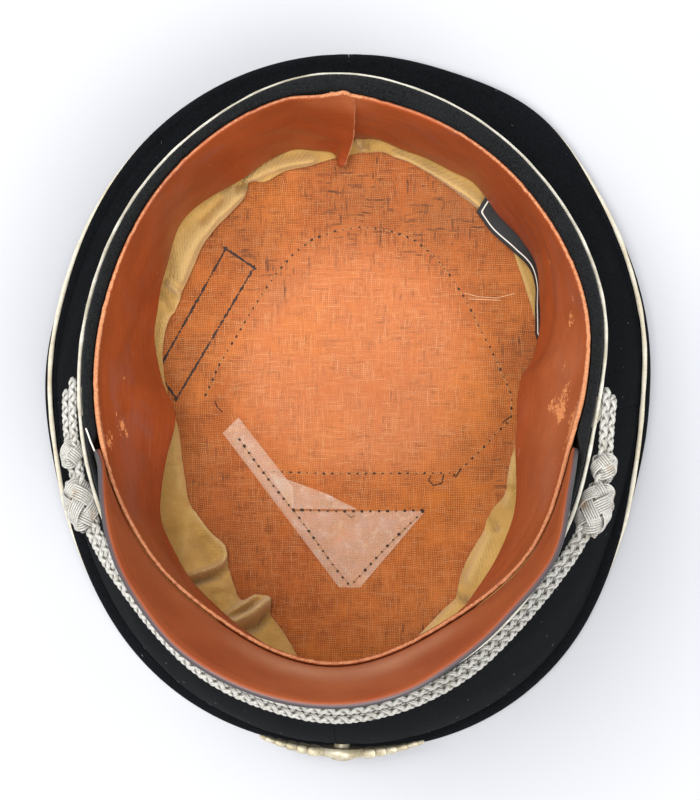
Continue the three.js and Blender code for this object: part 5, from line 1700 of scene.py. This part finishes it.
sew("stitches_lining", [ARCH, CROSS_ROW], "oilcloth", dark_thread, seed=3, height=0.16,
    spacing=3.1, length=1.15, thickness=0.66)
sew("stitches_film", [FILM_ROW, FILM_TOP], "film", dark_thread, seed=5, height=0.95,
    spacing=3.1, length=1.1, thickness=0.95)


def run_thread(name, lines, radius, finish, slot):
    thread = grow(name, line_mesh(name, lines), core_tree, radius=radius * MM, finish=finish)
    return hand_in(thread, slot)


faint_thread = spun_thread("faint_thread", "a3713f", "cd9f6b")
run_thread("seam_thread", [row_on_disc(row, 0.1, 0.12) for row in (ARCH, CROSS_ROW)], 0.13,
           faint_thread, "oilcloth")
run_thread("film_thread", [row_on_disc(row, 0.74, 0.1) for row in (FILM_ROW, FILM_TOP)], 0.1,
           faint_thread, "film")

# %% [markdown]
# Loose ends are part of the story: a few black snips lie on the lining, one stitch has pulled out
# into a loop, and a pale thread hangs from the leather beside the visor's corner.

# %% Loose threads
SCRATCH = [(44.3, 42.6), (50, 41.2), (56.5, 40.8), (63.3, 42.4)]
run_thread("pale_scratch", [row_on_disc(SCRATCH), row_on_disc([(46, 40.4), (58, 39.9)])], 0.12,
           spun_thread("pale_paint", "e0b184", "f0c9a0"), "oilcloth")
SNIPS = [[(-50.6, 1.6), (-49.8, -0.6), (-47.7, -2.6)],
         [(36.4, -26), (35.6, -29.6), (32.4, -30.4), (30.6, -28.4), (31.6, -26.6)],
         [(-0.6, -41.2), (1.2, -42.6), (2.6, -41.8)], [(58.6, -6.6), (61.4, -4.4)],
         [(40.8, -27.4), (42.4, -24.6)]]
run_thread("loose_snips", [row_on_disc(snip, 0.45) for snip in SNIPS], 0.17, dark_thread,
           "oilcloth")

corner = on_cap(np.array([202.6, 201, 199.6, 198, 196.6]), np.array([2.5, 2.9, 3.3, 3.6, 4]),
                np.array([-1.6, -1.4, -1.4, -1.4, -1.4]))
hanging = grow("loose_pale_thread", line_mesh("pale", [evenly(corner, 1)[0]]), core_tree,
               radius=0.3 * MM, finish=pale_thread)
hand_in(hanging, "hide")

# %% [markdown]
# An inspector's stamp once stood on the lining. Its wording is left off, and only the worn ruled
# frame is kept. The same stitch tree prints it: flat grains of ink along two long lines and two
# short ones, close together but uneven, so the line looks dabbed.

# %% Ruled frame
FRAME = [(-46.7, 59.4), (-35.7, 52.2), (-65.4, 2.4), (-72.4, 12.6), (-46.7, 59.4)]
for i, (first, last) in enumerate(zip(FRAME, FRAME[1:])):
    sew(f"ink_line_{i}", [[first, last]], "oilcloth", ink, seed=11 + i, height=0.02,
        spacing=1.3, length=1.9, thickness=0.95)

# %% [markdown]
# ## Lint
# Black wool always shows what has fallen on it. A tree scatters short bent fibres over the outside
# of the crown, each laid flat and turned at random. Most are too small to be more than specks.

# %% Lint
scatter, given = new_tree("lint", [
    ("Per Area", "Float", 900.0), ("Fibre Radius", "Float", 0.00005), ("Seed", "Int", 4),
    ("Finish", "Material", None)])
spread = wire(scatter, "GeometryNodeDistributePointsOnFaces", {
    "Mesh": given["Line"], "Density": given["Per Area"], "Seed": given["Seed"]}).outputs
bent = wire(scatter, "GeometryNodeCurveQuadraticBezier", {
    "Resolution": 4, "Start": (-0.0008, 0, 0.00009), "Middle": (0.0002, 0.0007, 0.0001),
    "End": (0.0009, -0.0001, 0.00009)}).outputs["Curve"]
fibre_shape = skinned(scatter, bent, given["Fibre Radius"], 4)
spin = chance(scatter, (0, 0, 0), (0, 0, math.tau), given["Seed"])
spin = wire(scatter, "FunctionNodeRotateRotation", {
    "Rotation": spread["Rotation"], "Rotate By": spin}, rotation_space="LOCAL").outputs[0]
lengths = chance(scatter, 0.1, 0.6, given["Seed"])
fallen = wire(scatter, "GeometryNodeInstanceOnPoints", {
    "Points": spread["Points"], "Instance": fibre_shape, "Rotation": spin, "Scale": lengths})
end_tree(scatter, fallen.outputs["Instances"], given["Finish"])

outside = bmesh.new()
for panel in quarters:
    outside.from_mesh(panel.data)
outside_mesh = bpy.data.meshes.new("outside")
outside.to_mesh(outside_mesh)
outside.free()
fallen_lint = grow("fallen_lint", outside_mesh, scatter, per_area=4200.0, fibre_radius=0.00005,
                   seed=4, finish=lint)
hand_in(fallen_lint, "wool")

# %% [markdown]
# ## Buttons
# Two small domed buttons hold the cord's ends to the band. Each is turned from one outline: a flat
# back, a rolled rim, a groove and a pebbled dome.

# %% Buttons
BUTTON_DEEP = 18.6
BUTTON_RIM = [(0, 0), (4.9, 0), (5.35, 0.2), (5.5, 0.6), (5.42, 1.05), (5.1, 1.25), (4.8, 1.12)]
BUTTON_DOME = [(4.65 * math.cos(a), 1.12 + 2.06 * math.sin(a))
               for a in np.linspace(0.05, math.pi / 2, 12)]


def button_pebbles(radius, rise, turns):
    return 0.12 * np.sin(radius * 4.2) * np.cos(turns * 9) * (rise > 1.3)


def turned_button(name, at):
    shell, quads = turned(BUTTON_RIM + BUTTON_DOME, 48, button_pebbles)
    middle = on_cap(np.array(at, float), band_out(at) + 2 * ROOM, BUTTON_DEEP)
    ahead = (on_cap(np.array(at + 2.0), band_out(at + 2), BUTTON_DEEP)
             - on_cap(np.array(at - 2.0), band_out(at - 2), BUTTON_DEEP))
    out = unit(np.cross(ahead, (0, math.sin(LEAN), math.cos(LEAN))))
    aside, up = unit(ahead), unit(np.cross(out, ahead))
    mesh = plain_mesh(name, shell @ np.stack([aside, up, out]) + middle, quads, dull_silver)
    return stand(name, close_up(mesh))


for side, at in (("left", 187.5), ("right", 350)):
    hand_in(turned_button(f"domed_button_{side}", at), "dull_silver", f"button_{side}")

# %% [markdown]
# ## Badge
# The badge is a generic one: a plain pebbled boss between two sprays of leaves, bent to the front
# of the crown. A leaf is a small closed shell, low along its midrib, and it is repeated by threes
# along each stem. A short post holds the badge to the wool.

# %% Badge
BADGE_MIDDLE, BADGE_HIGH, BADGE_STAND = 269.1, 0.42, 4


def badge_place(sideways, upward_by, stand_off):
    at = BADGE_MIDDLE + sideways / math.radians(CROWN["front"])
    v = BADGE_HIGH + upward_by / QUARTER_DEPTH

    def spot(azimuth, share):
        return on_quarter(np.array([azimuth]), np.array([share]))[0]

    ahead = unit(spot(at + 0.5, v) - spot(at - 0.5, v))
    rise = unit(spot(at, v + 0.02) - spot(at, v - 0.02))
    facing = unit(np.cross(ahead, rise))
    facing = -facing if facing[1] > 0 else facing
    return spot(at, v) + facing * stand_off, np.stack([ahead, np.cross(facing, ahead), facing])


LEAF_ROWS, LEAF_COLUMNS = 21, 11


def leaf_shell(half_length, half_width, thick):
    along, over = np.meshgrid(np.linspace(-1, 1, LEAF_ROWS), np.linspace(-1, 1, LEAF_COLUMNS),
                              indexing="ij")
    width = half_width * np.clip(1 - along**2, 0, 1) ** 0.8 * (1 - 0.25 * along)
    crown = np.clip(1 - over**2, 0, 1) ** 0.5 * np.clip(1 - along**4, 0, 1) ** 0.5
    midrib = 0.3 * bell(over, 0.16)
    x, y = along * half_length, over * width
    return np.stack([np.stack([x, y, thick * crown * (0.9 - midrib)], -1),
                     np.stack([x, y, -0.55 * thick * crown], -1)])


def leaf_at(sideways, upward_by, lean, half_length, half_width, thick):
    origin, axes = badge_place(sideways, upward_by, BADGE_STAND - 0.05 * abs(sideways))
    turn = np.radians(lean)
    spin = np.array([[math.cos(turn), math.sin(turn), 0],
                     [-math.sin(turn), math.cos(turn), 0],
                     [0, 0, 1]])
    shell = leaf_shell(half_length, half_width, thick) @ spin @ axes + origin
    row, column = strip_faces(LEAF_ROWS, LEAF_COLUMNS - 1, False)
    quads = row * LEAF_COLUMNS + column
    under = LEAF_ROWS * LEAF_COLUMNS + quads[:, ::-1]
    return shell.reshape(-1, 3), np.concatenate([quads, under])


BOSS_RIM = [(0, -1.4), (8, -1.2), (8.7, -0.2), (8.6, 1.2), (8, 1.9), (7.3, 1.6), (7, 1.25)]
BOSS_DOME = [(r, 1.25 + 2.6 * (1 - (r / 7) ** 2)) for r in np.linspace(6.8, 0, 16)]
POST = [(3, 0), (3, 2.4)]


def boss_bumps(radius, rise, turns):
    """A beaded rim and a pebbled dome."""
    beads = 0.28 * np.cos(turns * 24) * ((radius > 7.2) & (rise > 0.5))
    return beads + 0.16 * np.sin(radius * 3.4) * np.sin(turns * 13) * (radius < 6.6)


def turned_shell(stand_off, *outline):
    origin, axes = badge_place(0, 0, stand_off)
    shell, quads = turned(*outline)
    return (shell @ axes + origin).reshape(-1, 3), quads


shells = [turned_shell(BADGE_STAND - 1.2, BOSS_RIM + BOSS_DOME, 72, boss_bumps)]
for hand in (-1, 1):
    for i in range(5):
        sideways, high = hand * (9.4 + i * 4.3), 0.2 * i * i - 1.2
        shells.append(leaf_at(sideways + 1.6 * hand, high, 0, 3.6, 1.1, 2.2 - 0.25 * i))
        for side in (-1, 1):
            shells.append(leaf_at(sideways + 0.6 * hand, high + 1.9 * side, 38 * hand * side,
                                  3.6 - 0.2 * i, 1.6, 2.6 - 0.3 * i))
shells.append(turned_shell(0.2, POST, 16))
starts = np.cumsum([0] + [len(corners) for corners, _ in shells])
corners = np.concatenate([corners for corners, _ in shells])
quads = np.concatenate([quads + start for (_, quads), start in zip(shells, starts)])
badge_mesh = plain_mesh("leaf_badge", corners, quads, dull_silver)
hand_in(stand("leaf_badge", close_up(badge_mesh, fill=True), 45), "dull_silver", "badge")

# %% [markdown]
# ## Table and light
# The cap lies on a plain near-white table, in the soft light of a large box overhead and a bright
# even room. Nothing casts a hard edge, and the hollow of the cap stays readable to the bottom.

# %% Table and light
TABLE_HALF, TABLE_LOW, ROOM_LIGHT = 2, 0.0004, 0.74
table_mesh = bpy.data.meshes.new("table")
table_mesh.from_pydata([(x * TABLE_HALF, y * TABLE_HALF, -TABLE_LOW)
                        for x, y in ((-1, -1), (1, -1), (1, 1), (-1, 1))], [], [(0, 1, 2, 3)])
table_top, _, shader = bare_finish("table_top", 0.9)
shader.inputs["Base Color"].default_value = dye("c4c5c9")
table_mesh.materials.append(table_top)
table = bpy.data.objects.new("table", table_mesh)
bpy.context.scene.collection.objects.link(table)
table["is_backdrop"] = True


def soft_box(name, place, aim, size, watts):
    light = bpy.data.objects.new(name, bpy.data.lights.new(name, "AREA"))
    light.data.shape = "DISK"
    light.data.size = size
    light.data.energy = watts
    light.location = place
    light.rotation_mode = "QUATERNION"
    light.rotation_quaternion = (Vector(aim) - Vector(place)).to_track_quat("-Z", "Y")
    bpy.context.scene.collection.objects.link(light)


soft_box("overhead_box", (-0.42, 0.25, 1.4), (0, 0, 0), 1.0, 20)
soft_box("front_box", (0.4, -0.6, 1.3), (0, 0, 0.03), 0.8, 11)
room = bpy.data.worlds.new("room")
room.use_nodes = True
walls = room.node_tree.nodes["Background"].inputs
walls["Color"].default_value, walls["Strength"].default_value = dye("fbfcff"), ROOM_LIGHT
bpy.context.scene.world = room
bpy.context.scene.view_settings.view_transform = "Standard"
print("lit by two soft boxes and the room")

# %% [markdown]
# ## Cloth areas
# The area of each sheet's face is printed. The side lining is a straight strip, gathered.

# %% Sheets
for piece in (crown_top, *quarters, side_lining, top_lining, tab, sweatband):
    print_area(piece)

# %% [markdown]
# ## Measure
# The visual model may stand a little proud of the imported one, as cloth does. Both boxes are kept so
# that they can be compared.

# %% Sizes
size = {"cad": [list(corner) for corner in packed_box], "visual": [list(corner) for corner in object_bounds()]}
print("visual box", [round(value, 4) for corner in size["visual"] for value in corner])
